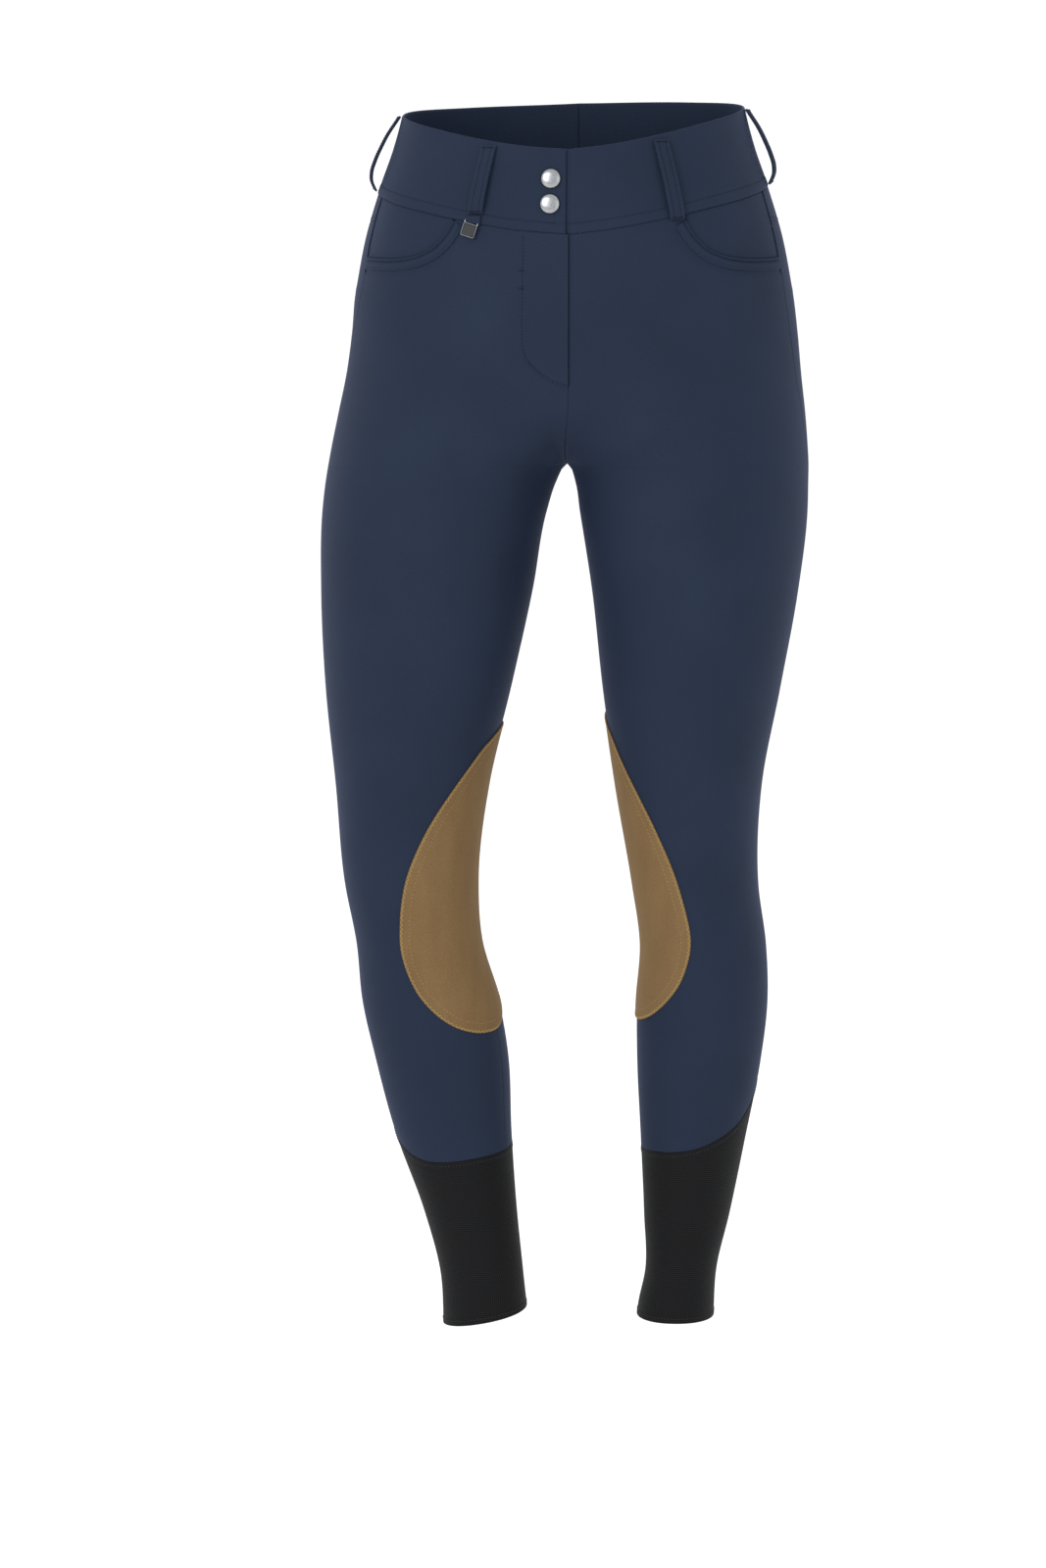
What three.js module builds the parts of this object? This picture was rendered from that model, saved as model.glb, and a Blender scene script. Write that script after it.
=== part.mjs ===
import * as THREE from 'three';

// Riding breeches in the form they take when worn. Nothing is inside them.
// Millimetres. +X is the wearer's left, +Y the wearer's back, +Z is up.
// z = 0 is the top of the waistband at the side of the waist.

// Cloth and seams
const CLOTH = 1.2;
const SEAM = 0.15;
const SEAT = 0.3;
const CUFF_CLOTH = 1.0;
const PATCH_CLOTH = 1.0;
const PATCH_SEAT = 0.45;

// Waistband faces, measured out from the body form
const BAND = { outer: 0.6, inner: -1.6 };
const OVERLAP = { outer: 1.2, inner: -0.7, edge: 91.1, length: 40, fade: 10 };
const UNDERLAP = { sink: 1.6, end: 71, rampStart: 2.6, rampLength: 3.8 };

// Fly
const FLY = { lift: 0.9, width: 34, bottom: -218, fade: 12 };
const SHIELD = { left: -32, right: 7, top: -101, bottom: -212, behind: 1.2, cloth: 1 };

// The figure: the trunk is shared, then each leg has its own sections
// columns: z, centre x, centre y, half width, depth in front, depth behind
const TRUNK = [
  [30, 0, 0, 131, 93, 94],
  [0, 0, 0, 136, 96, 97],
  [-30, 0, 0, 144, 100, 103],
  [-65, 0, 0, 156.5, 104, 112],
  [-100, 0, 0, 167, 107, 121],
  [-146, 0, 0, 176, 108, 130],
];
const RIGHT_SECTIONS = [
  [-178, -10, 0, 169, 107, 133],
  [-210, -30, 0, 153.5, 105, 132],
  [-241, -60, 0, 130, 101, 126],
  [-265, -88, 0, 107, 97, 117],
  [-285, -105.5, 0, 94.5, 94, 109],
  [-320, -112.5, 0, 91, 92, 99],
  [-384, -119, 0, 86, 88, 88],
  [-464, -126, -3, 75.5, 80, 78],
  [-544, -131.5, -5, 62, 71, 70],
  [-625, -132.5, -5, 54, 62, 62],
  [-674, -126.5, -3, 51, 59, 59],
  [-725, -117.5, 6, 56, 58, 60],
  [-772, -109, 13, 55, 57, 59],
  [-837, -99.5, 17, 48, 50, 51],
  [-903, -85.5, 17, 38.5, 41, 41],
  [-953, -76.5, 17, 34.5, 37, 37],
  [-1010, -72, 18, 36, 38, 38],
];
const LEFT_SECTIONS = [
  [-178, 10, 0, 170, 107, 133],
  [-210, 28, 0, 155, 105, 132],
  [-241, 56, 0, 130.5, 101, 126],
  [-265, 79, 0, 109.5, 97, 117],
  [-285, 94, 0, 95.5, 94, 109],
  [-320, 97, 0, 92, 92, 99],
  [-384, 98.5, 0, 83.5, 88, 88],
  [-464, 96, -3, 72, 80, 78],
  [-544, 94.5, -5, 59, 71, 70],
  [-625, 100.5, -5, 51, 62, 62],
  [-674, 107, -3, 51, 59, 59],
  [-725, 106, 6, 53.5, 58, 60],
  [-772, 103.5, 13, 51, 57, 59],
  [-837, 99, 17, 43.5, 50, 51],
  [-903, 94, 17, 35.5, 41, 41],
  [-953, 89, 17, 29.5, 37, 37],
  [-980, 85.5, 17, 31.5, 38, 38],
  [-1010, 84, 18, 33, 39, 39],
];
const SECTION_POWER = 2.15;
const THIGH_BLEND = { width: 28, top: -146, height: 130 };

// Where the seams run round each leg. An angle of 0 points at the other leg, 90 to the front,
// 180 to the outer side and 270 to the back.
// columns: z, angle of the inseam, angle of the side seam
const RIGHT_SEAMS = [
  [-60, 0, 168.5],
  [-100, 0, 168.5],
  [-150, 0, 168.5],
  [-185, 0, 173],
  [-220, 0, 176],
  [-290, 0, 178],
  [-400, 5, 179],
  [-500, 10, 181],
  [-600, 12, 183],
  [-650, 15, 186],
  [-690, 20, 190],
  [-740, 24, 194],
  [-1010, 24, 194],
];
const LEFT_SEAMS = [
  [-60, 0, 168.5],
  [-100, 0, 168.5],
  [-150, 0, 168.5],
  [-290, 0, 169.5],
  [-1010, 0, 169],
];

// Top edge and height of the waistband
// columns: angle away from the front centre, top edge, height of the band
const WAIST_EDGE = [
  [0, -33, 66],
  [20, -29.5, 65.5],
  [40, -22.5, 65],
  [60, -13, 64],
  [80, -4, 62.5],
  [100, 2, 62],
  [130, 6, 62],
  [180, 8, 62],
];
const WAIST_TILT = 0.018;

// Opening edge of the front pocket
// columns: angle, z
const POCKET_EDGE = [
  [134.6, -86],
  [137, -97],
  [140.5, -107],
  [145.5, -114],
  [152, -117.5],
  [160, -118],
  [171, -116],
];
const POCKET_SINK = 0.5;
const POCKET_HEM = { width: 9.5, cloth: 0.8, stations: 12 };

// Seam below the back yoke
// columns: angle, z
const YOKE_SEAM = [
  [160, -87],
  [190, -91],
  [230, -103],
  [270, -119],
];

// Seam between leg and cuff, and the hem
// columns: angle from the inseam, z
const CUFF_SEAM = [
  [-60, -840],
  [-15, -846],
  [45, -845],
  [75, -843],
  [95, -839.5],
  [115, -832],
  [135, -822],
  [155, -808],
  [175, -793],
  [200, -783],
  [225, -785],
  [260, -806],
  [300, -840],
  [345, -846],
  [405, -845],
];
const HEM = -989;

// Knee patch
// columns: z, angle of the front edge, angle of the back edge, both from the inseam
const PATCH = [
  [-484.5, -8, -22],
  [-486, -1, -29],
  [-489, 7, -36],
  [-494, 16, -43.5],
  [-501, 25.5, -50.5],
  [-514, 35.5, -57.5],
  [-530, 46, -64],
  [-548, 56, -69],
  [-570, 65.5, -73],
  [-600, 75, -77],
  [-625, 80, -78],
  [-645, 82, -76],
  [-662, 82, -71],
  [-680, 78.5, -63],
  [-700, 71.5, -50],
  [-715, 61.5, -36],
  [-725, 51, -22],
  [-731, 41, -11],
  [-735, 29, 0],
  [-736.3, 20, 9],
];

// Belt loops
const LOOP = { width: 12.5, cloth: 1.6, steps: 10 };
// columns: angle at the top, angle at the foot, drop from the band's edge, length, stand off
const RIGHT_LOOPS = {
  belt_loop_front_right: [124, 127, 4, 53, 2.6],
  belt_loop_side_right: [176, 176, 1, 60, 9],
};
const LEFT_LOOPS = {
  belt_loop_front_left: [128.5, 132, 4.5, 62, 2.6],
  belt_loop_side_left: [176, 176, 1, 60, 9],
  belt_loop_back: [270, 270, 4, 58, 2.6],
};

// Snap fasteners and the badge under the right front loop
const SNAP = { radius: 7.6, rim: 1, height: 3.2, segments: 20 };
const SNAPS = { snap_upper: [97.7, -56], snap_lower: [97.9, -75.5] };
const BADGE = { angle: 128.6, z: -96, width: 11, height: 10.5, depth: 1.3, turn: 17, stand: 2.3 };
const TAB = { angle: 127.6, top: -84.5, bottom: -91.5, width: 12, cloth: 1 };

// Grid counts
const PANEL_COLUMNS = 14;
const POCKET_COLUMN = 8;
const LOWEST_ROW = -762;
const KNEE_ROWS = [-737, -715, -700, -680, -662, -645, -625, -600, -570, -540, -512, -485];
const THIGH_ROWS = [-458, -425, -392, -362, -337, -317, -304];
const FORK_TOP = -196;
const FORK_ROWS = 7;
const HIP_ROWS = [-174, -151, -131];
const UPPER_ROWS = 2;
const CUFF_ROWS = 6;
const BAND_ROWS = 4;

const radians = (degrees) => (degrees * Math.PI) / 180;
const degrees = (angle) => (angle * 180) / Math.PI;
const mix = (a, b, t) => a + (b - a) * t;
const clamp = (value, low, high) => Math.min(high, Math.max(low, value));

function ease(t) {
  const s = clamp(t, 0, 1);
  return s * s * (3 - 2 * s);
}

// A smooth curve through the rows of a table: give the first column, get the others
function smoothTable(table) {
  const rows = [...table].sort((a, b) => a[0] - b[0]);
  const last = rows.length - 1;
  const slope = (i, j, c) => (rows[j][c] - rows[i][c]) / (rows[j][0] - rows[i][0]);
  const tangent = (i, c) => {
    if (i === 0) return slope(0, 1, c);
    if (i === last) return slope(last - 1, last, c);
    const before = rows[i][0] - rows[i - 1][0];
    const after = rows[i + 1][0] - rows[i][0];
    return (slope(i - 1, i, c) * after + slope(i, i + 1, c) * before) / (before + after);
  };
  return (key) => {
    const k = clamp(key, rows[0][0], rows[last][0]);
    let i = 0;
    while (i < last - 1 && rows[i + 1][0] <= k) i += 1;
    const step = rows[i + 1][0] - rows[i][0];
    const t = (k - rows[i][0]) / step;
    const start = 2 * t ** 3 - 3 * t ** 2 + 1;
    const out = [];
    for (let c = 1; c < rows[0].length; c += 1) {
      const bend = (t ** 3 - 2 * t ** 2 + t) * tangent(i, c) + (t ** 3 - t ** 2) * tangent(i + 1, c);
      out.push(start * rows[i][c] + (1 - start) * rows[i + 1][c] + bend * step);
    }
    return out;
  };
}

const RIGHT = {
  name: 'right',
  inner: 1,
  drop: 9,
  lean: 0.2,
  section: smoothTable([...TRUNK, ...RIGHT_SECTIONS]),
  seams: smoothTable(RIGHT_SEAMS),
};
const LEFT = {
  name: 'left',
  inner: -1,
  drop: 0,
  lean: 0,
  section: smoothTable([...TRUNK, ...LEFT_SECTIONS]),
  seams: smoothTable(LEFT_SEAMS),
};
const waistEdge = smoothTable(WAIST_EDGE);
const pocketEdge = smoothTable(POCKET_EDGE);
const yokeSeam = smoothTable(YOKE_SEAM);
const cuffSeam = smoothTable(CUFF_SEAM);

// Distance from one leg's tube, negative inside
function tubeDistance(leg, x, y, z) {
  const [centreX, centreY, half, front, behind] = leg.section(z);
  const dx = x - centreX;
  const dy = y - centreY;
  const depth = dy < 0 ? front : behind;
  const power = SECTION_POWER;
  const q = ((Math.abs(dx) / half) ** power + (Math.abs(dy) / depth) ** power) ** (1 / power);
  return Math.hypot(dx, dy) * (1 - 1 / Math.max(q, 1e-6));
}

// The whole figure: both tubes, blended where the thighs meet
function bodyDistance(x, y, z) {
  const right = tubeDistance(RIGHT, x, y, z);
  const left = tubeDistance(LEFT, x, y, z);
  const blend = THIGH_BLEND.width * ease((THIGH_BLEND.top - z) / THIGH_BLEND.height) + 1e-6;
  const h = clamp(0.5 + (left - right) / (2 * blend), 0, 1);
  return mix(left, right, h) - blend * h * (1 - h);
}

function bodyNormal(p) {
  const e = 0.05;
  return new THREE.Vector3(
    bodyDistance(p.x + e, p.y, p.z) - bodyDistance(p.x - e, p.y, p.z),
    bodyDistance(p.x, p.y + e, p.z) - bodyDistance(p.x, p.y - e, p.z),
    bodyDistance(p.x, p.y, p.z + e) - bodyDistance(p.x, p.y, p.z - e),
  ).normalize();
}

// Halves the span until inside(t) changes between its ends
function halve(from, to, inside) {
  let low = from;
  let high = to;
  for (let i = 0; i < 40; i += 1) {
    const middle = (low + high) / 2;
    if (inside(middle)) low = middle;
    else high = middle;
  }
  return low;
}

// Point of the figure at an angle round a leg. A piece of one side ends at the centre seam.
function bodyPoint(leg, angle, z, pastCentre = false) {
  const [centreX, centreY] = leg.section(z);
  const across = leg.inner * Math.cos(radians(angle));
  const ahead = -Math.sin(radians(angle));
  const centreSeam = -leg.inner * SEAM;
  let reach = 260;
  if (!pastCentre && across * leg.inner > 1e-9) reach = Math.min(reach, (centreSeam - centreX) / across);
  const inside = (t) => bodyDistance(centreX + across * t, centreY + ahead * t, z) < 0;
  const t = inside(reach) ? reach : halve(0, reach, inside);
  return new THREE.Vector3(centreX + across * t, centreY + ahead * t, z);
}

const crotch = halve(-200, -330, (z) => bodyDistance(0, 0, z) < 0);

// Angle at which the centre seam stands on a level above the crotch, in front or behind
function centreAngle(leg, z, behind) {
  const x = -leg.inner * SEAM;
  const direction = behind ? 1 : -1;
  const y = direction * halve(0, 200, (t) => bodyDistance(x, direction * t, z) < 0);
  const [centreX, centreY] = leg.section(z);
  const angle = degrees(Math.atan2(-(y - centreY), leg.inner * (x - centreX)));
  return angle < 0 ? angle + 360 : angle;
}

const seamAngle = (leg, z) => degrees(SEAM / leg.section(z)[2]);
const twist = (leg, z) => leg.seams(z)[0];
const sideSeam = (leg, z) => leg.seams(z)[1];

function frontSpan(leg, z) {
  const gap = seamAngle(leg, z);
  const start = z > crotch ? Math.max(gap, centreAngle(leg, z, false)) : twist(leg, z) + gap;
  return [start, sideSeam(leg, z) - gap];
}

function backSpan(leg, z) {
  const gap = seamAngle(leg, z);
  const end = z > crotch ? Math.min(360 - gap, centreAngle(leg, z, true)) : 360 + twist(leg, z) - gap;
  return [sideSeam(leg, z) + gap, end];
}

function waistTop(leg, angle) {
  const fromFront = angle > 270 ? 450 - angle : Math.abs(angle - 90);
  const tilt = -leg.inner * WAIST_TILT * 150 * Math.sin(radians(angle - 90));
  return waistEdge(fromFront)[0] + tilt;
}
const waistSeam = (leg, angle) => waistTop(leg, angle) - waistEdge(Math.abs(angle - 90))[1];

function legSeam(leg, angle) {
  const level = CUFF_SEAM[2][1];
  const fromInseam = angle - twist(leg, level);
  const lean = leg.lean * leg.section(level)[2] * Math.cos(radians(angle));
  return cuffSeam(fromInseam)[0] - leg.drop + lean;
}

function hemLine(leg, angle) {
  return HEM - leg.drop / 4 + leg.lean * leg.section(HEM)[2] * Math.cos(radians(angle));
}

// Closed solid between two faces. place(i, j) gives the outer and the inner point of column i,
// row j. A ring joins its last column to its first.
function solid(columns, rows, place, ring = false) {
  const positions = [];
  const wide = ring ? columns : columns + 1;
  for (let j = 0; j <= rows; j += 1) {
    for (let i = 0; i < wide; i += 1) {
      const { outer, inner } = place(i, j);
      positions.push(outer.x, outer.y, outer.z, inner.x, inner.y, inner.z);
    }
  }
  const outer = (i, j) => 2 * (j * wide + (i % wide));
  const inner = (i, j) => outer(i, j) + 1;
  const faces = [];
  const corner = (k) => new THREE.Vector3().fromArray(positions, 3 * k);
  const apart = (a, b) => corner(a).distanceTo(corner(b));
  const quad = (a, b, c, d) => {
    if (apart(a, c) <= apart(b, d)) faces.push(a, b, c, a, c, d);
    else faces.push(a, b, d, b, c, d);
  };
  for (let j = 0; j < rows; j += 1) {
    for (let i = 0; i < columns; i += 1) {
      quad(outer(i, j), outer(i + 1, j), outer(i + 1, j + 1), outer(i, j + 1));
      quad(inner(i, j), inner(i, j + 1), inner(i + 1, j + 1), inner(i + 1, j));
    }
    if (!ring) {
      quad(outer(0, j), outer(0, j + 1), inner(0, j + 1), inner(0, j));
      quad(outer(columns, j), inner(columns, j), inner(columns, j + 1), outer(columns, j + 1));
    }
  }
  for (let i = 0; i < columns; i += 1) {
    quad(outer(i, 0), inner(i, 0), inner(i + 1, 0), outer(i + 1, 0));
    quad(outer(i, rows), outer(i + 1, rows), inner(i + 1, rows), inner(i, rows));
  }
  return facingOut(positions, faces);
}

function facingOut(positions, faces) {
  const corner = (k) => new THREE.Vector3().fromArray(positions, 3 * faces[k]);
  let volume = 0;
  for (let k = 0; k < faces.length; k += 3) volume += corner(k).dot(corner(k + 1).cross(corner(k + 2)));
  if (volume < 0) faces.reverse();
  const geometry = new THREE.BufferGeometry();
  geometry.setAttribute('position', new THREE.Float32BufferAttribute(positions, 3));
  geometry.setIndex(faces);
  geometry.computeVertexNormals();
  return geometry;
}

// The two faces of cloth at a point of the figure
function faces(point, outerOffset, innerOffset) {
  const normal = bodyNormal(point);
  return {
    outer: point.clone().addScaledVector(normal, outerOffset),
    inner: point.clone().addScaledVector(normal, innerOffset),
  };
}

// A leg panel. span(leg, z) is its range of angles and top(angle) its upper edge.
function panel(leg, span, top, lift = () => 0) {
  const kneeRows = KNEE_ROWS.map((z) => z - leg.drop);
  const levels = [
    (angle) => legSeam(leg, angle) + SEAM,
    (angle) => mix(legSeam(leg, angle), LOWEST_ROW, 0.35),
    (angle) => mix(legSeam(leg, angle), LOWEST_ROW, 0.7),
    ...[LOWEST_ROW, ...kneeRows, ...THIGH_ROWS, crotch].map((z) => () => z),
  ];
  for (let k = 1; k <= FORK_ROWS; k += 1) levels.push(() => mix(crotch, FORK_TOP, (k / FORK_ROWS) ** 2));
  HIP_ROWS.forEach((z) => levels.push(() => z));
  for (let k = 1; k <= UPPER_ROWS; k += 1) {
    levels.push((angle) => mix(HIP_ROWS.at(-1), top(angle) - SEAM, k / UPPER_ROWS));
  }
  const rows = levels.length - 1;
  const place = (i, j) => {
    const t = i / PANEL_COLUMNS;
    let angle = mix(...span(leg, j < 3 ? LOWEST_ROW : -110), t);
    let z = levels[j](angle);
    angle = mix(...span(leg, z), t);
    z = levels[j](angle);
    const point = bodyPoint(leg, angle, z);
    const raised = lift(point);
    const { outer, inner } = faces(point, raised, raised - CLOTH);
    const onCentre = z >= crotch && leg.inner * point.x > -SEAM - 1e-3;
    if (onCentre) {
      outer.x = point.x;
      inner.x = point.x;
    }
    return { outer, inner };
  };
  return solid(PANEL_COLUMNS, rows, place);
}

function flyLift(point) {
  const across = ease((point.x + FLY.width) / (FLY.width - 4));
  const along = ease((point.z - FLY.bottom) / FLY.fade);
  return FLY.lift * across * along;
}

// Upper edge of a front: the waist seam, then the pocket opening
function frontTop(leg, angle) {
  return angle < POCKET_EDGE[0][0] + 0.5 ? waistSeam(leg, angle) : pocketEdge(angle)[0];
}

// Angles shared by everything that meets the waist seam
function waistAngles(leg) {
  const angles = [];
  const level = -90;
  for (let i = 0; i <= PANEL_COLUMNS; i += 1) angles.push(mix(...frontSpan(leg, level), i / PANEL_COLUMNS));
  for (let i = 0; i <= PANEL_COLUMNS; i += 1) angles.push(mix(...backSpan(leg, level), i / PANEL_COLUMNS));
  return angles;
}

function waistband(leg, angles, outerOffset, innerOffset) {
  const place = (i, j) => {
    const angle = angles[i];
    const z = mix(waistSeam(leg, angle) + SEAM, waistTop(leg, angle), j / BAND_ROWS);
    const point = bodyPoint(leg, angle, z, true);
    return faces(point, outerOffset(point), innerOffset(point));
  };
  return solid(angles.length - 1, BAND_ROWS, place);
}

function rightBand() {
  const angles = [OVERLAP.edge, ...waistAngles(RIGHT).slice(1)];
  const over = (point) => {
    const behind = point.y > 0 ? 1 : ease((-point.x - OVERLAP.length) / OVERLAP.fade);
    return 1 - behind;
  };
  return waistband(
    RIGHT,
    angles,
    (point) => mix(BAND.outer, OVERLAP.outer, over(point)),
    (point) => mix(BAND.inner, OVERLAP.inner, over(point)),
  );
}

function leftBand() {
  const angles = [UNDERLAP.end, 77, 83, 89.3, 91.4, ...waistAngles(LEFT).slice(1)];
  const sink = (point) => {
    if (point.y > 0) return 0;
    return UNDERLAP.sink * ease((UNDERLAP.rampStart - point.x) / UNDERLAP.rampLength);
  };
  return waistband(
    LEFT,
    angles,
    (point) => BAND.outer - sink(point),
    (point) => BAND.inner - sink(point),
  );
}

function yoke(leg) {
  const rows = 3;
  const place = (i, j) => {
    const t = i / PANEL_COLUMNS;
    let angle = mix(...backSpan(leg, -90), t);
    const z = mix(yokeSeam(angle)[0] + SEAM, waistSeam(leg, angle) - SEAM, j / rows);
    angle = mix(...backSpan(leg, z), t);
    return faces(bodyPoint(leg, angle, z), 0, -CLOTH);
  };
  return solid(PANEL_COLUMNS, rows, place);
}

function pocketFacing(leg) {
  const columns = PANEL_COLUMNS - POCKET_COLUMN;
  const rows = 3;
  const edgeGap = 2 * SEAM;
  const column = (k) => mix(...frontSpan(leg, -110), k / PANEL_COLUMNS);
  const edge = (k) => {
    const [before, after] = [Math.floor(k), Math.ceil(k)].map((n) => frontTop(leg, column(n)));
    return mix(before, after, k - Math.floor(k));
  };
  const place = (i, j) => {
    const k = POCKET_COLUMN + Math.max(i, 0.25);
    const z = mix(edge(k) + edgeGap, waistSeam(leg, column(k)) - SEAM, j / rows);
    const angle = mix(...frontSpan(leg, z), k / PANEL_COLUMNS);
    return faces(bodyPoint(leg, angle, z), -POCKET_SINK, -POCKET_SINK - CLOTH);
  };
  return solid(columns, rows, place);
}

// Turned hem along the pocket opening, lying on the front
function pocketHem(leg) {
  const start = POCKET_EDGE[0][0] + 0.4;
  const end = sideSeam(leg, -117) - 0.6;
  const place = (i, j) => {
    const angle = mix(start, end, (i / POCKET_HEM.stations) ** 1.3);
    const step = 0.5;
    const edge = bodyPoint(leg, angle, pocketEdge(angle)[0]);
    const ahead = bodyPoint(leg, angle + step, pocketEdge(angle + step)[0]).sub(edge);
    const along = Math.hypot(ahead.x, ahead.y);
    const length = Math.hypot(along, ahead.z);
    const width = j === 0 ? 0.4 : POCKET_HEM.width;
    const z = Math.min(edge.z - (width * along) / length, waistSeam(leg, angle) - 1);
    const turn = degrees((width * ahead.z) / length / Math.hypot(edge.x, edge.y));
    const point = bodyPoint(leg, angle + turn, z);
    return faces(point, SEAT + POCKET_HEM.cloth, SEAT);
  };
  return solid(POCKET_HEM.stations, 1, place);
}

function cuff(leg) {
  const level = LOWEST_ROW;
  const angles = [];
  for (let i = 0; i < PANEL_COLUMNS; i += 1) angles.push(mix(...frontSpan(leg, level), i / PANEL_COLUMNS));
  for (let i = 0; i < PANEL_COLUMNS; i += 1) angles.push(mix(...backSpan(leg, level), i / PANEL_COLUMNS));
  const place = (i, j) => {
    const z = mix(hemLine(leg, angles[i]), legSeam(leg, angles[i]) - SEAM, j / CUFF_ROWS);
    return faces(bodyPoint(leg, angles[i], z), 0, -CUFF_CLOTH);
  };
  return solid(angles.length, CUFF_ROWS, place, true);
}

function kneePatch(leg) {
  const columns = 16;
  const place = (i, j) => {
    const [z, front, back] = PATCH[j];
    const level = z - leg.drop;
    const angle = mix(front, back, i / columns) + twist(leg, level);
    const point = bodyPoint(leg, (angle + 360) % 360, level);
    return faces(point, PATCH_SEAT + PATCH_CLOTH, PATCH_SEAT);
  };
  return solid(columns, PATCH.length - 1, place);
}

// Point on the front of the figure straight ahead of x
function frontPoint(x, z) {
  const y = -halve(0, 200, (t) => bodyDistance(x, -t, z) < 0);
  return new THREE.Vector3(x, y, z);
}

function flyShield() {
  const columns = 5;
  const rows = 7;
  const place = (i, j) => {
    const x = mix(SHIELD.left, SHIELD.right, i / columns);
    const z = mix(SHIELD.bottom, SHIELD.top, j / rows);
    return faces(frontPoint(x, z), -CLOTH - SHIELD.behind, -CLOTH - SHIELD.behind - SHIELD.cloth);
  };
  return solid(columns, rows, place);
}

function beltLoop(leg, [topAngle, footAngle, drop, length, stand]) {
  const start = waistTop(leg, topAngle) - drop;
  const seat = BAND.outer + SEAT;
  const place = (i, j) => {
    const t = j / LOOP.steps;
    const angle = mix(topAngle, footAngle, t);
    const z = start - length * t;
    const middle = bodyPoint(leg, angle, z, true);
    const normal = bodyNormal(middle);
    const across = new THREE.Vector3(0, 0, 1).cross(normal).normalize();
    const bow = ease((t - 0.02) / 0.26) * ease((0.97 - t) / 0.26);
    const under = middle.clone().addScaledVector(across, (i - 0.5) * LOOP.width);
    under.addScaledVector(normal, seat + stand * bow);
    const over = under.clone().addScaledVector(normal, LOOP.cloth);
    return { outer: over, inner: under };
  };
  return solid(1, LOOP.steps, place);
}

// A turned cap: rings of [radius, height], closed by a point at each end
function turned(profile, segments) {
  const positions = [0, 0, profile[0][1]];
  profile.forEach(([radius, height]) => {
    for (let i = 0; i < segments; i += 1) {
      const angle = (2 * Math.PI * i) / segments;
      positions.push(radius * Math.cos(angle), radius * Math.sin(angle), height);
    }
  });
  const top = profile.at(-1)[1];
  positions.push(0, 0, top);
  const apex = positions.length / 3 - 1;
  const at = (ring, i) => 1 + ring * segments + (i % segments);
  const indices = [];
  for (let i = 0; i < segments; i += 1) {
    indices.push(0, at(0, i + 1), at(0, i));
    for (let ring = 0; ring < profile.length - 1; ring += 1) {
      indices.push(at(ring, i), at(ring, i + 1), at(ring + 1, i + 1));
      indices.push(at(ring, i), at(ring + 1, i + 1), at(ring + 1, i));
    }
    indices.push(at(profile.length - 1, i), at(profile.length - 1, i + 1), apex);
  }
  return facingOut(positions, indices);
}

// Stands a shape made on the XY plane on the figure, its +Z along the surface normal
function standOn(geometry, leg, angle, z, height, turn = 0) {
  const point = bodyPoint(leg, angle, z);
  const normal = bodyNormal(point);
  const across = new THREE.Vector3(0, 0, 1).cross(normal).normalize();
  const up = normal.clone().cross(across);
  const basis = new THREE.Matrix4().makeBasis(across, up, normal);
  basis.setPosition(point.addScaledVector(normal, height));
  geometry.rotateZ(radians(turn));
  geometry.applyMatrix4(basis);
  return geometry;
}

function snap([angle, z]) {
  const { radius, rim, height, segments } = SNAP;
  const profile = [
    [radius - 0.4, 0],
    [radius, 0.4],
    [radius, rim],
    [radius - 0.7, rim + 0.5],
    [radius * 0.8, rim + 0.9],
    [radius * 0.5, height - 0.35],
    [radius * 0.2, height],
  ];
  return standOn(turned(profile, segments), RIGHT, angle, z, OVERLAP.outer + SEAT);
}

function badgePlate() {
  const { width, height, depth } = BADGE;
  const ear = 1.6;
  const outline = new THREE.Shape();
  outline.moveTo(-width / 2, -height / 2);
  outline.lineTo(width / 2, -height / 2);
  outline.lineTo(width / 2, height / 2);
  outline.lineTo(width / 2 + 0.5, height / 2 + ear);
  outline.lineTo(width / 2 - 1.2, height / 2 + ear);
  outline.lineTo(width / 2 - 1.6, height / 2);
  outline.lineTo(-width / 2 + 1.6, height / 2);
  outline.lineTo(-width / 2 + 1.2, height / 2 + ear);
  outline.lineTo(-width / 2 - 0.5, height / 2 + ear);
  outline.lineTo(-width / 2, height / 2);
  outline.closePath();
  const plate = new THREE.ExtrudeGeometry(outline, { depth, bevelEnabled: false });
  return standOn(plate, RIGHT, BADGE.angle, BADGE.z, BADGE.stand, -BADGE.turn);
}

function badgeTab() {
  const place = (i, j) => {
    const z = mix(TAB.bottom, TAB.top, j / 2);
    const middle = bodyPoint(RIGHT, TAB.angle, z);
    const normal = bodyNormal(middle);
    const across = new THREE.Vector3(0, 0, 1).cross(normal).normalize();
    const under = middle.addScaledVector(across, (i - 0.5) * TAB.width).addScaledVector(normal, BAND.outer + SEAT);
    return { outer: under.clone().addScaledVector(normal, TAB.cloth), inner: under };
  };
  return solid(1, 2, place);
}

const garment = new THREE.Group();
garment.name = 'riding_breeches';

function add(name, geometry, color, roughness = 0.85, metalness = 0) {
  const mesh = new THREE.Mesh(geometry, new THREE.MeshStandardMaterial({ color, roughness, metalness }));
  mesh.name = name;
  garment.add(mesh);
}

const NAVY = '#2d3548';
const SUEDE = '#80643f';
const KNIT = '#222325';
const SILVER = '#c8ccd0';
const GUNMETAL = '#3b3e42';

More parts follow.
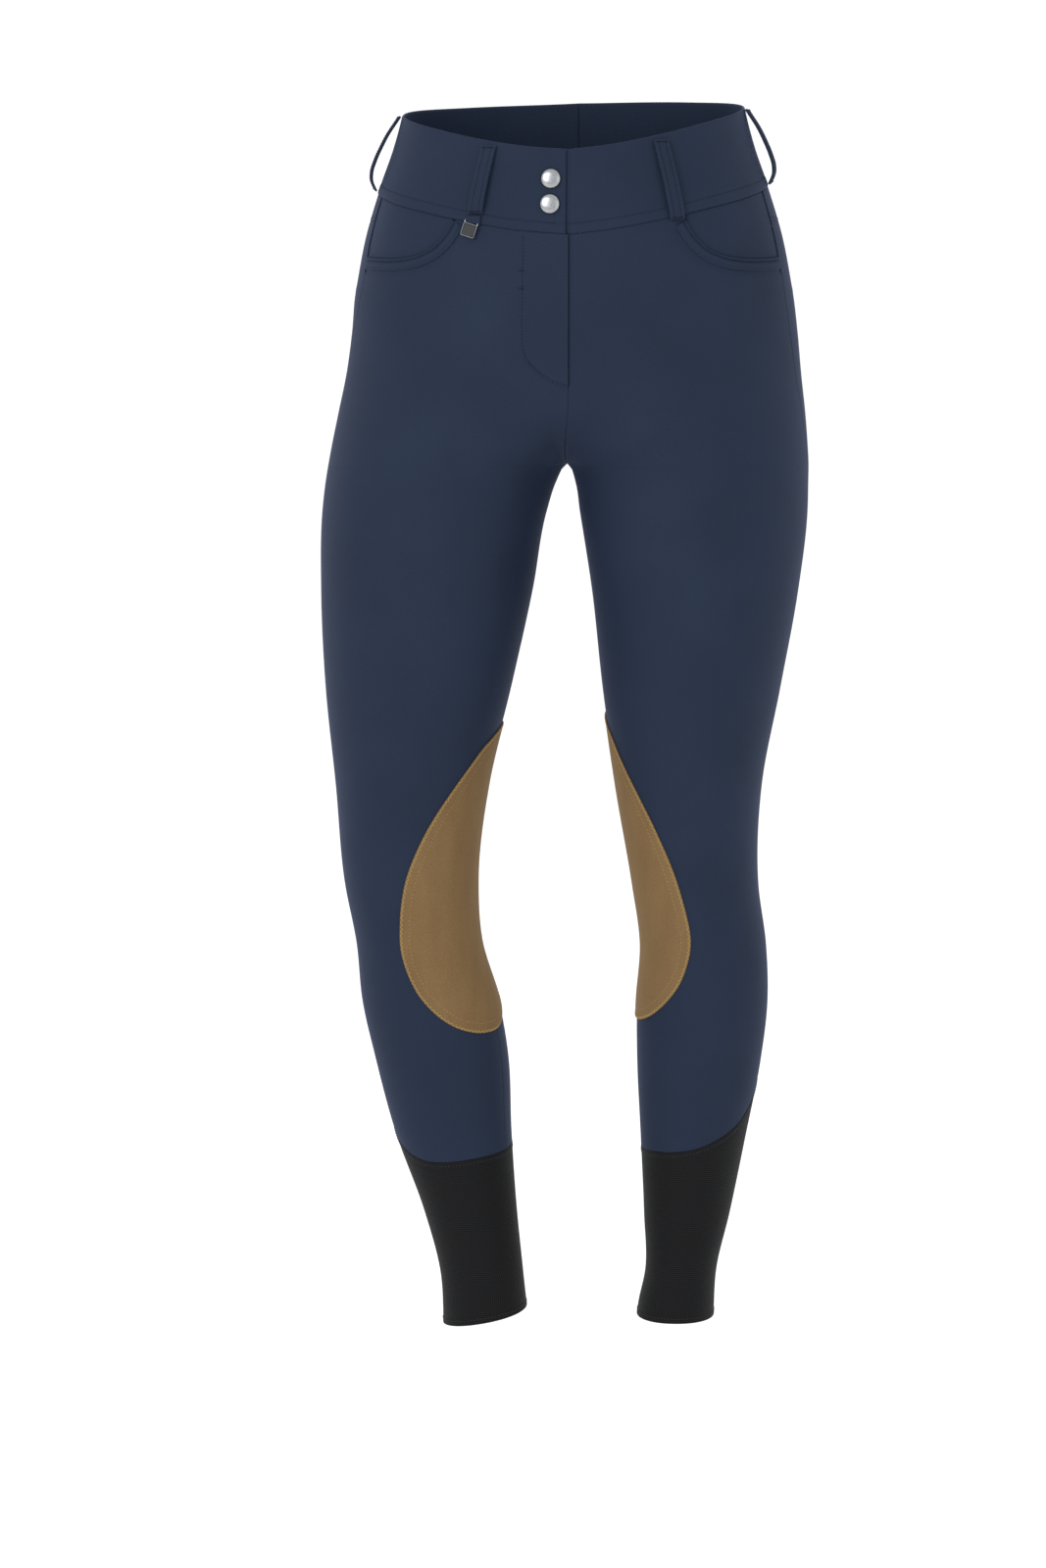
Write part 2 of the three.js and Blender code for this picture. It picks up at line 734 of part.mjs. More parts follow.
for (const leg of [RIGHT, LEFT]) {
  const lift = leg === RIGHT ? flyLift : undefined;
  add(`front_${leg.name}`, panel(leg, frontSpan, (angle) => frontTop(leg, angle), lift), NAVY);
  add(`back_${leg.name}`, panel(leg, backSpan, (angle) => yokeSeam(angle)[0]), NAVY);
  add(`yoke_${leg.name}`, yoke(leg), NAVY);
  add(`pocket_facing_${leg.name}`, pocketFacing(leg), NAVY);
  add(`pocket_hem_${leg.name}`, pocketHem(leg), NAVY);
  add(`knee_patch_${leg.name}`, kneePatch(leg), SUEDE, 0.95);
  add(`cuff_${leg.name}`, cuff(leg), KNIT, 0.9);
}
add('waistband_right', rightBand(), NAVY);
add('waistband_left', leftBand(), NAVY);
add('fly_shield', flyShield(), NAVY);
for (const [name, row] of Object.entries(RIGHT_LOOPS)) add(name, beltLoop(RIGHT, row), NAVY);
for (const [name, row] of Object.entries(LEFT_LOOPS)) add(name, beltLoop(LEFT, row), NAVY);
for (const [name, place] of Object.entries(SNAPS)) add(name, snap(place), SILVER, 0.3, 1);
add('badge_tab', badgeTab(), NAVY);
add('badge_plate', badgePlate(), GUNMETAL, 0.35, 1);

export default garment;
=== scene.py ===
# %% [markdown]
# # Riding breeches
# Close-fitting stretch breeches, in the form they take when worn, with nothing inside them.
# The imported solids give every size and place. This script dresses them: each cut and sewn piece
# becomes a thin shell of cloth with rolled edges, and thread, snaps and a badge go on top.

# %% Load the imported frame
import bpy
import numpy as np
from mathutils import Matrix, Vector
from mathutils.kdtree import KDTree


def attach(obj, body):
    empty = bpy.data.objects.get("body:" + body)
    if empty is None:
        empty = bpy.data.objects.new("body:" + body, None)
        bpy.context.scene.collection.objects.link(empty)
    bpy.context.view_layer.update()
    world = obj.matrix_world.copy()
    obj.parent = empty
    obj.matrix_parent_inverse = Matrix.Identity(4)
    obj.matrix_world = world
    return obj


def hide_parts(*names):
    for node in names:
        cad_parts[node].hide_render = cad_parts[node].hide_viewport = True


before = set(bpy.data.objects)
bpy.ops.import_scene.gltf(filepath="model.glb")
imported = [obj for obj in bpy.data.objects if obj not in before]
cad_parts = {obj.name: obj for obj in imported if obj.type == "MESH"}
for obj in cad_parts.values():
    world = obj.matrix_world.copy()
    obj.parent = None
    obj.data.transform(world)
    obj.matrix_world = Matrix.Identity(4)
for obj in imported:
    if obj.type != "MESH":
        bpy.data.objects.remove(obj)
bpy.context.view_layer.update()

print("nodes in the frame:", len(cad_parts))

# %% [markdown]
# ## Tools used all through
# Lengths below are in millimetres, as on a pattern, and become metres when a mesh is made.
# The garment's form is a short table of sections, so the first tool draws a smooth curve through
# the rows of a table. It works on whole arrays, because a leg panel has thousands of points.

# %% Blending and smooth tables
MM = 0.001


def mix(a, b, t):
    return a + (b - a) * t


def ease(t):
    s = np.clip(t, 0, 1)
    return s * s * (3 - 2 * s)


def dent(away, width):
    """How deep a soft dent is at a distance from its middle, as a share."""
    return np.exp(-((away / width) ** 2))


def smooth_table(rows):
    """A smooth curve through a table's rows: give the first column, get the others."""
    table = np.array(sorted(rows), float)
    key, value = table[:, 0], table[:, 1:]
    gap = np.diff(key)[:, None]
    slope = np.diff(value, axis=0) / gap
    tangent = np.empty_like(value)
    tangent[0] = slope[0]
    tangent[-1] = slope[-1]
    tangent[1:-1] = (slope[:-1] * gap[1:] + slope[1:] * gap[:-1]) / (gap[1:] + gap[:-1])

    def curve(at):
        at = np.clip(at, key[0], key[-1])
        i = np.clip(np.searchsorted(key, at, side="right") - 1, 0, len(key) - 2)
        t = (at - key[i])[..., None] / gap[i]
        start = 2 * t**3 - 3 * t**2 + 1
        leave = (t**3 - 2 * t**2 + t) * gap[i] * tangent[i]
        arrive = (t**3 - t**2) * gap[i] * tangent[i + 1]
        return start * value[i] + (1 - start) * value[i + 1] + leave + arrive

    return curve


# %% [markdown]
# ## The form under the cloth
# The garment's own form comes first. Each leg is a stack of rounded sections, the
# two share the trunk, and where the thighs meet they blend. A point of the surface is found
# by walking out from the middle of a leg until the form ends, in every direction at once.

# %% Section tables
# columns: z, centre x, centre y, half width, depth in front, depth behind
TRUNK = [
    (30, 0, 0, 131, 93, 94),
    (0, 0, 0, 136, 96, 97),
    (-30, 0, 0, 144, 100, 103),
    (-65, 0, 0, 156.5, 104, 112),
    (-100, 0, 0, 167, 107, 121),
    (-138, 0, 0, 174.6, 107.9, 128.6),
    (-146, 0, 0, 176, 108, 130),
]
RIGHT_SECTIONS = [
    (-178, -10, 0, 169, 107, 133),
    (-210, -30, 0, 153.5, 105, 132),
    (-241, -60, 0, 130, 101, 126),
    (-265, -88, 0, 107, 97, 117),
    (-283, -102.5, 0, 95.9, 94.2, 109.8),
    (-296, -107.1, 0, 93.5, 93.2, 105.5),
    (-320, -112.5, 0, 91, 92, 99),
    (-384, -119, 0, 86, 88, 88),
    (-464, -126, -3, 75.5, 80, 78),
    (-544, -131.5, -5, 62, 71, 70),
    (-625, -132.5, -5, 54, 62, 62),
    (-674, -126.5, -3, 51, 59, 59),
    (-725, -117.5, 6, 56, 58, 60),
    (-772, -109, 13, 55, 57, 59),
    (-837, -99.5, 17, 48, 50, 51),
    (-903, -85.5, 17, 38.5, 41, 41),
    (-953, -76.5, 17, 34.5, 37, 37),
    (-1010, -72, 18, 36, 38, 38),
]
LEFT_SECTIONS = [
    (-178, 10, 0, 170, 107, 133),
    (-210, 28, 0, 155, 105, 132),
    (-241, 56, 0, 130.5, 101, 126),
    (-265, 79, 0, 109.5, 97, 117),
    (-283, 92.8, 0, 96.7, 94.2, 109.8),
    (-296, 95.3, 0, 94.1, 93.2, 105.5),
    (-320, 97, 0, 92, 92, 99),
    (-384, 98.5, 0, 83.5, 88, 88),
    (-464, 96, -3, 72, 80, 78),
    (-544, 94.5, -5, 59, 71, 70),
    (-625, 100.5, -5, 51, 62, 62),
    (-674, 107, -3, 51, 59, 59),
    (-725, 106, 6, 53.5, 58, 60),
    (-772, 103.5, 13, 51, 57, 59),
    (-837, 99, 17, 43.5, 50, 51),
    (-903, 94, 17, 35.5, 41, 41),
    (-953, 89, 17, 29.5, 37, 37),
    (-980, 85.5, 17, 31.5, 38, 38),
    (-1010, 84, 18, 33, 39, 39),
]
SECTION_POWER = 2.15
THIGH_BLEND_WIDTH = 28
THIGH_BLEND_TOP = -146
THIGH_BLEND_HEIGHT = 130
CROTCH_BLEND_WIDTH = 5
CROTCH_BLEND_TOP = -235
CROTCH_BLEND_HEIGHT = 43
# each piece stops this far short of a seam
SEAM = 0.01
# below the fly the centre seam drifts to the right leg, to the top of the crotch's arch
FORK_SHIFT = -5.2
FORK_SHIFT_TOP = -222
FORK_SHIFT_HEIGHT = 61
print("sections in a leg:", len(TRUNK) + len(RIGHT_SECTIONS))

# %% [markdown]
# Angles run round a leg: 0 points at the other leg, 90 to the front, 180 to the outer side and
# 270 to the back. The side seam swings to the back over the calf, and on the standing leg that
# is turned out the inseam comes forward, which is why each leg has a seam table of its own.

# %% The two legs
# columns: z, angle of the inseam, angle of the side seam
RIGHT_SEAMS = [
    (-60, 0, 168.5),
    (-100, 0, 168.5),
    (-150, 0, 168.5),
    (-185, 0, 173),
    (-220, 0, 176),
    (-290, 0, 178),
    (-400, 5, 179),
    (-500, 10, 181),
    (-600, 12, 183),
    (-650, 15, 186),
    (-690, 20, 190),
    (-740, 24, 194),
    (-1010, 24, 194),
]
LEFT_SEAMS = [
    (-60, 0, 168.5),
    (-100, 0, 168.5),
    (-150, 0, 168.5),
    (-290, 0, 169.5),
    (-1010, 0, 169),
]


class Leg:
    """One leg of the form. inner is the side of the other leg along x: 1 or -1."""

    def __init__(self, name, inner, drop, lean, sections, seams):
        self.name = name
        self.inner = inner
        self.drop = drop
        self.lean = lean
        self.section = smooth_table(TRUNK + sections)
        self.seams = smooth_table(seams)


RIGHT = Leg("right", 1, 9, 0.2, RIGHT_SECTIONS, RIGHT_SEAMS)
LEFT = Leg("left", -1, 0, 0, LEFT_SECTIONS, LEFT_SEAMS)
LEGS = (RIGHT, LEFT)
print("legs:", [leg.name for leg in LEGS])

# %% Distance from the form
HALVINGS = 34
NORMAL_STEP = 0.4
FARTHEST = 260.0
DEEPEST = 200.0


def tube_distance(leg, x, y, z):
    """Distance from one leg's tube, negative inside."""
    centre_x, centre_y, half, front, behind = np.moveaxis(leg.section(z), -1, 0)
    dx = x - centre_x
    dy = y - centre_y
    depth = np.where(dy < 0, front, behind)
    power = SECTION_POWER
    q = ((np.abs(dx) / half) ** power + (np.abs(dy) / depth) ** power) ** (1 / power)
    return np.hypot(dx, dy) * (1 - 1 / np.maximum(q, 1e-6))


def body_distance(x, y, z):
    """Distance from the whole form. The two tubes blend, and more sharply towards the crotch."""
    right = tube_distance(RIGHT, x, y, z)
    left = tube_distance(LEFT, x, y, z)
    soft = THIGH_BLEND_WIDTH * ease((THIGH_BLEND_TOP - z) / THIGH_BLEND_HEIGHT) + 1e-6
    blend = mix(soft, CROTCH_BLEND_WIDTH, ease((CROTCH_BLEND_TOP - z) / CROTCH_BLEND_HEIGHT))
    h = np.clip(0.5 + (left - right) / (2 * blend), 0, 1)
    return mix(left, right, h) - blend * h * (1 - h)


def centre_plane(z):
    """x of the centre seams, which drift to the standing leg's side below the fly."""
    return FORK_SHIFT * ease((FORK_SHIFT_TOP - z) / FORK_SHIFT_HEIGHT)


def halve(low, high, inside):
    """Halves the spans until inside(t) changes between their ends."""
    for _ in range(HALVINGS):
        middle = (low + high) / 2
        within = inside(middle)
        low = np.where(within, middle, low)
        high = np.where(within, high, middle)
    return low


def body_normal(points):
    slopes = []
    for axis in np.eye(3) * NORMAL_STEP:
        ahead = points + axis
        behind = points - axis
        slopes.append(body_distance(*np.moveaxis(ahead, -1, 0)) - body_distance(*np.moveaxis(behind, -1, 0)))
    normal = np.stack(slopes, axis=-1)
    return normal / np.linalg.norm(normal, axis=-1, keepdims=True)


def body_point(leg, angle, z, past_centre=False):
    """Points of the form at an angle round a leg. A piece of one side ends at the centre seam."""
    angle, z = np.broadcast_arrays(np.asarray(angle, float), np.asarray(z, float))
    centre = leg.section(z)
    across = leg.inner * np.cos(np.radians(angle))
    ahead = -np.sin(np.radians(angle))
    reach = np.full(angle.shape, FARTHEST)
    if not past_centre:
        inward = across * leg.inner > 1e-9
        to_centre = (centre_plane(z) - leg.inner * SEAM - centre[..., 0]) / np.where(inward, across, 1)
        reach = np.where(inward, np.minimum(reach, to_centre), reach)

    def inside(t):
        return body_distance(centre[..., 0] + across * t, centre[..., 1] + ahead * t, z) < 0

    t = np.where(inside(reach), reach, halve(np.zeros(angle.shape), reach, inside))
    return np.stack([centre[..., 0] + across * t, centre[..., 1] + ahead * t, z], axis=-1)


in_seat, below_seat = np.array(-200.0), np.array(-330.0)
crotch = float(halve(in_seat, below_seat, lambda z: body_distance(FORK_SHIFT, 0.0, z) < 0))
print("height of the crotch:", round(crotch, 1), "mm")

# %% [markdown]
# ## Where the seams lie
# Every cut edge is a line on the form: the waistband's two edges, the pocket opening, the yoke
# seam, the slanted cuff seam and the hem. They are short tables as well, taken over the angle.

# %% Seam tables
# columns: angle away from the front centre, top edge, height of the band
waist_edge = smooth_table([
    (0, -33, 66),
    (20, -29.5, 65.5),
    (40, -22.5, 65),
    (60, -13, 64),
    (80, -4, 62.5),
    (100, 2, 62),
    (130, 6, 62),
    (180, 8, 62),
])
WAIST_TILT = 2.7
# columns: angle, z
POCKET_START = 134.6
pocket_edge = smooth_table([
    (POCKET_START, -86),
    (137, -97),
    (140.5, -107),
    (145.5, -114),
    (152, -117.5),
    (160, -118),
    (171, -116),
])
yoke_seam = smooth_table([
    (160, -87),
    (190, -91),
    (230, -103),
    (270, -119),
])
# columns: angle from the inseam, z
CUFF_LEVEL = -845
cuff_seam = smooth_table([
    (-60, -840),
    (-15, -846),
    (45, CUFF_LEVEL),
    (75, -843),
    (95, -839.5),
    (115, -832),
    (135, -822),
    (155, -808),
    (175, -793),
    (200, -783),
    (225, -785),
    (260, -806),
    (300, -840),
    (345, -846),
    (405, CUFF_LEVEL),
])
HEM = -989


def twist(leg, z):
    """Angle of the inseam."""
    return leg.seams(np.asarray(z, float))[..., 0]


def side_seam(leg, z):
    return leg.seams(np.asarray(z, float))[..., 1]


def waist_top(leg, angle):
    angle = np.asarray(angle, float)
    from_front = np.where(angle > 270, 450 - angle, np.abs(angle - 90))
    return waist_edge(from_front)[..., 0] - leg.inner * WAIST_TILT * np.sin(np.radians(angle - 90))


def waist_seam(leg, angle):
    return waist_top(leg, angle) - waist_edge(np.abs(np.asarray(angle, float) - 90))[..., 1]


def leg_seam(leg, angle):
    half = float(leg.section(np.array(float(CUFF_LEVEL)))[2])
    level = cuff_seam(np.asarray(angle, float) - twist(leg, CUFF_LEVEL))[..., 0]
    return level - leg.drop + leg.lean * half * np.cos(np.radians(angle))


def hem_line(leg, angle):
    half = float(leg.section(np.array(float(HEM)))[2])
    return HEM - leg.drop / 4 + leg.lean * half * np.cos(np.radians(angle))


def front_top(leg, angle):
    """Upper edge of a front: the waist seam, then the pocket opening."""
    return np.where(angle < POCKET_START + 0.5, waist_seam(leg, angle), pocket_edge(angle)[..., 0])


print("waist seam at the front centre:", float(waist_seam(RIGHT, 90.0)), "mm")

# %% The range of angles that each panel covers


def seam_angle(leg, z):
    return np.degrees(SEAM / leg.section(z)[..., 2])


def centre_angle(leg, z, direction):
    """Angle at which the centre seam stands above the crotch: direction -1 in front, 1 behind."""
    level = np.maximum(z, crotch)
    x = centre_plane(level) - leg.inner * SEAM
    y = direction * halve(np.zeros(z.shape), np.full(z.shape, DEEPEST),
                          lambda t: body_distance(x, direction * t, level) < 0)
    centre = leg.section(z)
    angle = np.degrees(np.arctan2(-(y - centre[..., 1]), leg.inner * (x - centre[..., 0])))
    return np.where(angle < 0, angle + 360, angle)


def front_span(leg, z):
    gap = seam_angle(leg, z)
    above = np.maximum(gap, centre_angle(leg, z, -1))
    return np.where(z > crotch, above, twist(leg, z) + gap), side_seam(leg, z) - gap


def back_span(leg, z):
    gap = seam_angle(leg, z)
    above = np.minimum(360 - gap, centre_angle(leg, z, 1))
    return side_seam(leg, z) + gap, np.where(z > crotch, above, 360 + twist(leg, z) - gap)


print("front of the right leg at the knee:", [round(float(a)) for a in front_span(RIGHT, np.array(-640.0))])

# %% [markdown]
# ## Creases
# This cloth is tight and springy, so it lies almost smooth. What folds there are run out from the
# crotch, across the bend of the knee, under the seat and over the calf. They are placed one by one
# on the surface as soft troughs and ridges, no two alike, and fade at both ends.

# %% Creases placed one by one
# columns: leg, angle and z at the start, angle and z at the end, half width, height (minus: a trough)
CREASES = [
    (RIGHT, 58, -262, 96, -236, 9, -1.1),
    (RIGHT, 62, -284, 108, -262, 10, -0.9),
    (RIGHT, 46, -300, 84, -292, 8, -0.8),
    (RIGHT, 30, -318, 58, -330, 9, -0.7),
    (LEFT, 56, -260, 92, -238, 8, -1.0),
    (LEFT, 60, -280, 112, -255, 11, -0.9),
    (LEFT, 44, -304, 78, -298, 9, -0.8),
    (LEFT, 28, -322, 60, -336, 8, -0.6),
    (RIGHT, 96, -598, 142, -586, 13, -0.9),
    (RIGHT, 86, -676, 150, -690, 15, -1.0),
    (LEFT, 92, -604, 138, -594, 12, -0.8),
    (LEFT, 90, -682, 146, -692, 14, -1.1),
    (RIGHT, 226, -612, 318, -628, 9, -2.2),
    (RIGHT, 236, -640, 330, -636, 8, -2.8),
    (RIGHT, 222, -664, 300, -654, 9, -2.0),
    (RIGHT, 240, -626, 300, -630, 9, 0.9),
    (LEFT, 230, -618, 312, -610, 9, -2.3),
    (LEFT, 224, -646, 324, -642, 8, -2.6),
    (LEFT, 238, -668, 310, -676, 10, -1.8),
    (LEFT, 236, -630, 296, -634, 8, 0.8),
    (RIGHT, 292, -292, 238, -306, 12, -2.4),
    (RIGHT, 300, -318, 256, -326, 10, -1.5),
    (LEFT, 294, -290, 236, -304, 12, -2.2),
    (LEFT, 302, -316, 260, -330, 9, -1.6),
    (RIGHT, 306, -250, 276, -222, 10, -1.2),
    (LEFT, 308, -248, 272, -226, 9, -1.1),
    (RIGHT, 60, -818, 128, -806, 10, -0.9),
    (RIGHT, 230, -752, 290, -764, 12, -0.9),
    (LEFT, 64, -812, 122, -798, 9, -0.8),
    (LEFT, 236, -748, 284, -760, 11, -0.9),
]
CREASE_STEPS = 9
CREASE_REACH = 130
CREASE_FADE = 1.2


def crease_line(leg, start_angle, start_z, end_angle, end_z):
    t = np.linspace(0, 1, CREASE_STEPS)
    return body_point(leg, mix(start_angle, end_angle, t), mix(start_z, end_z, ease(t)))


crease_lines = [(crease_line(*row[:5]), row[5], row[6]) for row in CREASES]


def crease_height(points):
    """How far the creases push the cloth out, in millimetres."""
    height = np.zeros(points.shape[:-1])
    for line, width, rise in crease_lines:
        near = np.linalg.norm(points - line.mean(axis=0), axis=-1) < CREASE_REACH
        some = points[near]
        if not len(some):
            continue
        best = np.full(len(some), 1e9)
        along = np.zeros(len(some))
        for k in range(CREASE_STEPS - 1):
            step = line[k + 1] - line[k]
            t = np.clip((some - line[k]) @ step / (step @ step), 0, 1)
            apart = np.linalg.norm(some - line[k] - t[:, None] * step, axis=1)
            nearer = apart < best
            best = np.where(nearer, apart, best)
            along = np.where(nearer, (k + t) / (CREASE_STEPS - 1), along)
        height[near] += rise * np.sin(np.pi * along) ** CREASE_FADE * dent(best, width)
    return height


def surface(leg, angle, z, past_centre=False):
    """Points of the creased cloth and the directions out of it."""
    points = body_point(leg, angle, z, past_centre)
    normals = body_normal(points)
    return points + normals * crease_height(points)[..., None], normals


print("creases:", len(CREASES))

# %% [markdown]
# ## A sewn shell
# A cut piece of cloth is two faces about a millimetre apart, and where it is sewn it rolls into
# the seam. A Solidify modifier would leave square edges, so the shell is made directly: both
# faces of a grid bulge away from a middle sheet and meet at its border in a round edge.
# A piece keeps a UV map in metres along and across the cloth, which the weave follows.

# %% Pieces and the faces of a grid
pieces = {}


def new_piece(name, mesh, replaces=()):
    obj = bpy.data.objects.new(name, mesh)
    bpy.context.scene.collection.objects.link(obj)
    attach(obj, "root")
    if replaces:
        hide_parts(*replaces)
    pieces[name] = obj
    return obj


def grid_faces(index, wrap):
    """Corners of each cell of a grid of vertex numbers, and where they lie in the closed grid."""
    rows, columns = index.shape
    j, i = np.mgrid[0:rows - 1, 0:columns - (0 if wrap else 1)]
    j, i = j.ravel(), i.ravel()
    right = (i + 1) % columns
    corners = np.stack([index[j, i], index[j, right], index[j + 1, right], index[j + 1, i]], axis=1)
    wide = columns + 1
    here = j * wide + i
    return corners, np.stack([here, here + 1, here + wide + 1, here + wide], axis=1)


print("corners of one cell:", grid_faces(np.arange(4).reshape(2, 2), False)[0].tolist())

# %% Turn a grid into a closed shell


def inset_from(border, points):
    """Distance of each point of a grid from the nearest border point."""
    tree = KDTree(int(border.sum()))
    for k, point in enumerate(points[border]):
        tree.insert(point, k)
    tree.balance()
    inset = np.array([tree.find(point)[2] for point in points.reshape(-1, 3)]).reshape(border.shape)
    inset[border] = 0
    return inset


def cloth_places(points):
    """UV of a closed grid, in metres: along the cloth from its middle column, and its height."""
    closed = np.concatenate([points, points[:, :1]], axis=1)
    along = np.zeros(closed.shape[:2])
    along[:, 1:] = np.cumsum(np.linalg.norm(np.diff(closed, axis=1), axis=2), axis=1)
    centred = along - along[:, points.shape[1] // 2][:, None]
    return np.stack([centred, closed[..., 2]], axis=2).reshape(-1, 2) * MM


def face_outwards(vertices, faces, places):
    """Turns all faces over if the closed shell is inside out."""
    corners = vertices[faces]
    volume = (corners[:, 0] * np.cross(corners[:, 1], corners[:, 2])).sum()
    volume += (corners[:, 0] * np.cross(corners[:, 2], corners[:, 3])).sum()
    return (faces[:, ::-1], places[:, ::-1]) if volume < 0 else (faces, places)


def cloth_mesh(name, points, normals, outer, inner, roll, wrap=False, keep_side=0):
    """Closed shell between two offsets from a grid. Its border rolls in over roll millimetres."""
    rows, columns = points.shape[:2]
    border = np.zeros((rows, columns), bool)
    border[[0, -1]] = True
    if not wrap:
        border[:, [0, -1]] = True
    middle = np.broadcast_to((outer + inner) / 2, (rows, columns))
    half = np.broadcast_to((outer - inner) / 2, (rows, columns))
    bulge = half * np.sqrt(1 - (1 - np.clip(inset_from(border, points) / roll, 0, 1)) ** 2)
    over = points + normals * (middle + bulge)[..., None]
    under = points + normals * (middle - bulge)[..., None]
    if keep_side:
        for face in (over, under):
            plane = centre_plane(face[..., 2])
            face[..., 0] = plane + np.minimum((face[..., 0] - plane) * keep_side, -SEAM) * keep_side
    over_index = np.arange(rows * columns).reshape(rows, columns)
    under_index = np.where(border, over_index, 0)
    under_index[~border] = rows * columns + np.arange(int((~border).sum()))
    vertices = np.vstack([over.reshape(-1, 3), under[~border]]) * MM
    over_faces, places = grid_faces(over_index, wrap)
    under_faces, _ = grid_faces(under_index, wrap)
    faces = np.vstack([over_faces, under_faces[:, ::-1]])
    faces, places = face_outwards(vertices, faces, np.vstack([places, places[:, ::-1]]))
    mesh = bpy.data.meshes.new(name)
    mesh.from_pydata(vertices.tolist(), [], faces.tolist())
    layer = mesh.uv_layers.new(name="cloth")
    layer.data.foreach_set("uv", cloth_places(points)[places.ravel()].astype(np.float32).ravel())
    mesh.polygons.foreach_set("use_smooth", np.ones(len(mesh.polygons), bool))
    mesh.update()
    return mesh


print("a shell's border is rolled, and its faces look outwards")

# %% [markdown]
# The stretch cloth is cut a little narrower than it is worn, so that it clings.


def sew(name, points, normals, outer, inner, roll, wrap=False, keep_side=0):
    """Makes a cloth piece that stands for the CAD node of its name."""
    mesh = cloth_mesh(name, points, normals, outer, inner, roll, wrap, keep_side)
    obj = new_piece(f"{name}_cloth", mesh, [name])
    return obj


# %% [markdown]
# ## Leg panels
# Each leg has a front and a back, cut in one from waist to calf. Their rows follow the height, but
# bunch up above the crotch, where the centre seam curves under, and the columns of the fronts
# are close together at the centre, where the fly is stitched. The first few columns and
# rows lie within two millimetres of the edge, so the roll into the seam is round.

# %% Rows and columns of a panel
CLOTH = 1.2
EDGE = [0, 0.12, 0.4, 0.9, 1.8]
LOWEST_ROW = -762
ROW_STEP = 4.5
FORK_TOP = -222
FORK_ROWS = 34
HIP_ROW = -131
HIP_STEP = 1.4
TOP_ROWS = 12
CALF_ROWS = 14
FLY_COLUMNS = [1.8 + 1.2 * k for k in range(1, 37)]
OUTER_ANGLE = 170.0
SETTLE_TURNS = 6
TRIAL_COLUMNS = 25


def steps_up(low, high, step):
    """Even heights above low, up to high."""
    return list(np.linspace(low, high, round((high - low) / step) + 1)[1:])


def panel_levels(leg, top):
    """Heights of a panel's rows from the cuff seam up, each as a function of the angle."""
    edge = EDGE[-1]
    levels = [lambda a, e=e: leg_seam(leg, a) + SEAM + e for e in EDGE]
    levels += [lambda a, k=k: mix(leg_seam(leg, a) + SEAM + edge, LOWEST_ROW, k / CALF_ROWS)
               for k in range(1, CALF_ROWS + 1)]
    heights = steps_up(LOWEST_ROW, crotch, ROW_STEP)
    heights += [mix(crotch, FORK_TOP, (k / FORK_ROWS) ** 2) for k in range(1, FORK_ROWS + 1)]
    heights += steps_up(FORK_TOP, HIP_ROW, HIP_STEP)
    levels += [lambda a, z=z: np.full(a.shape, z) for z in heights]
    levels += [lambda a, k=k: mix(HIP_ROW, top(a) - SEAM - edge, k / TOP_ROWS)
               for k in range(1, TOP_ROWS + 1)]
    levels += [lambda a, e=e: top(a) - SEAM - e for e in EDGE[-2::-1]]
    return levels


def cloth_grid(leg, span, levels, near, far, count):
    """Surface grid of a piece: near and far are its first and last columns, in mm from its edges."""

    def settle(t):
        z = np.array([level(np.full(t.shape[1], OUTER_ANGLE)) for level in levels])
        for _ in range(SETTLE_TURNS):
            start, end = span(leg, z)
            angle = mix(start, end, t)
            z = np.array([level(a) for level, a in zip(levels, angle)])
        return angle, z

    angle, z = settle(np.tile(np.linspace(0, 1, TRIAL_COLUMNS), (len(levels), 1)))
    rough = body_point(leg, angle, z)
    width = np.linalg.norm(np.diff(rough, axis=1), axis=2).sum(axis=1)[:, None]
    first = np.array(near)[None] / width
    last = 1 - np.array(far)[::-1][None] / width
    between = mix(first[:, -1:], last[:, :1], np.linspace(0, 1, count + 2)[None, 1:-1])
    angle, z = settle(np.hstack([first, between, last]))
    return surface(leg, angle, z)


# %% [markdown]
# The right front laps over at the fly. Its flap is a second layer held by a J-shaped row of
# stitches, so the cloth steps up softly inside the J.

# %% The fly's flap
FLY_LIFT = 1.5
FLY_GROOVE = 0.5
FLY_GROOVE_LOW = 0.9
FLY_GROOVE_FROM = -185
FLY_GROOVE_GROWS = 15
FLY_GROOVE_WIDTH = 0.8
# columns: z, distance of the stitch line from the centre front
fly_line = smooth_table([
    (-99, 36.7),
    (-160, 37.6),
    (-183, 38),
    (-196, 35),
    (-206, 25.5),
    (-214, 13.5),
    (-217.4, 2.8),
    (-219, 0.5),
])
FLY_BOTTOM = -219
FLY_SOFT = 2.0
UNDER_SINK = 0.5
UNDER_REACH = 5


def fly_lift(points):
    """How far the flap stands out, less the groove of its stitches."""
    inside = fly_line(points[..., 2])[..., 0] + points[..., 0]
    across = ease(inside / FLY_SOFT + 0.5)
    along = ease((points[..., 2] - FLY_BOTTOM) / FLY_SOFT)
    sewn = dent(inside - FLY_SOFT, FLY_GROOVE_WIDTH) * along
    deeper = FLY_GROOVE_LOW * ease((FLY_GROOVE_FROM - points[..., 2]) / FLY_GROOVE_GROWS)
    return FLY_LIFT * across * along - (FLY_GROOVE + deeper) * sewn


def under_sink(points):
    """The left front lies lower where the flap covers its edge."""
    near = 1 - ease(points[..., 0] / UNDER_REACH)
    return UNDER_SINK * near * ease((points[..., 2] - FLY_BOTTOM) / UNDER_REACH)


print("the flap ends at", FLY_BOTTOM, "mm")

# %% [markdown]
# The pocket's hem is sewn down along a line that keeps its distance from the opening. The same
# line, a little further out, is where the stitches pull the front into a soft hollow.

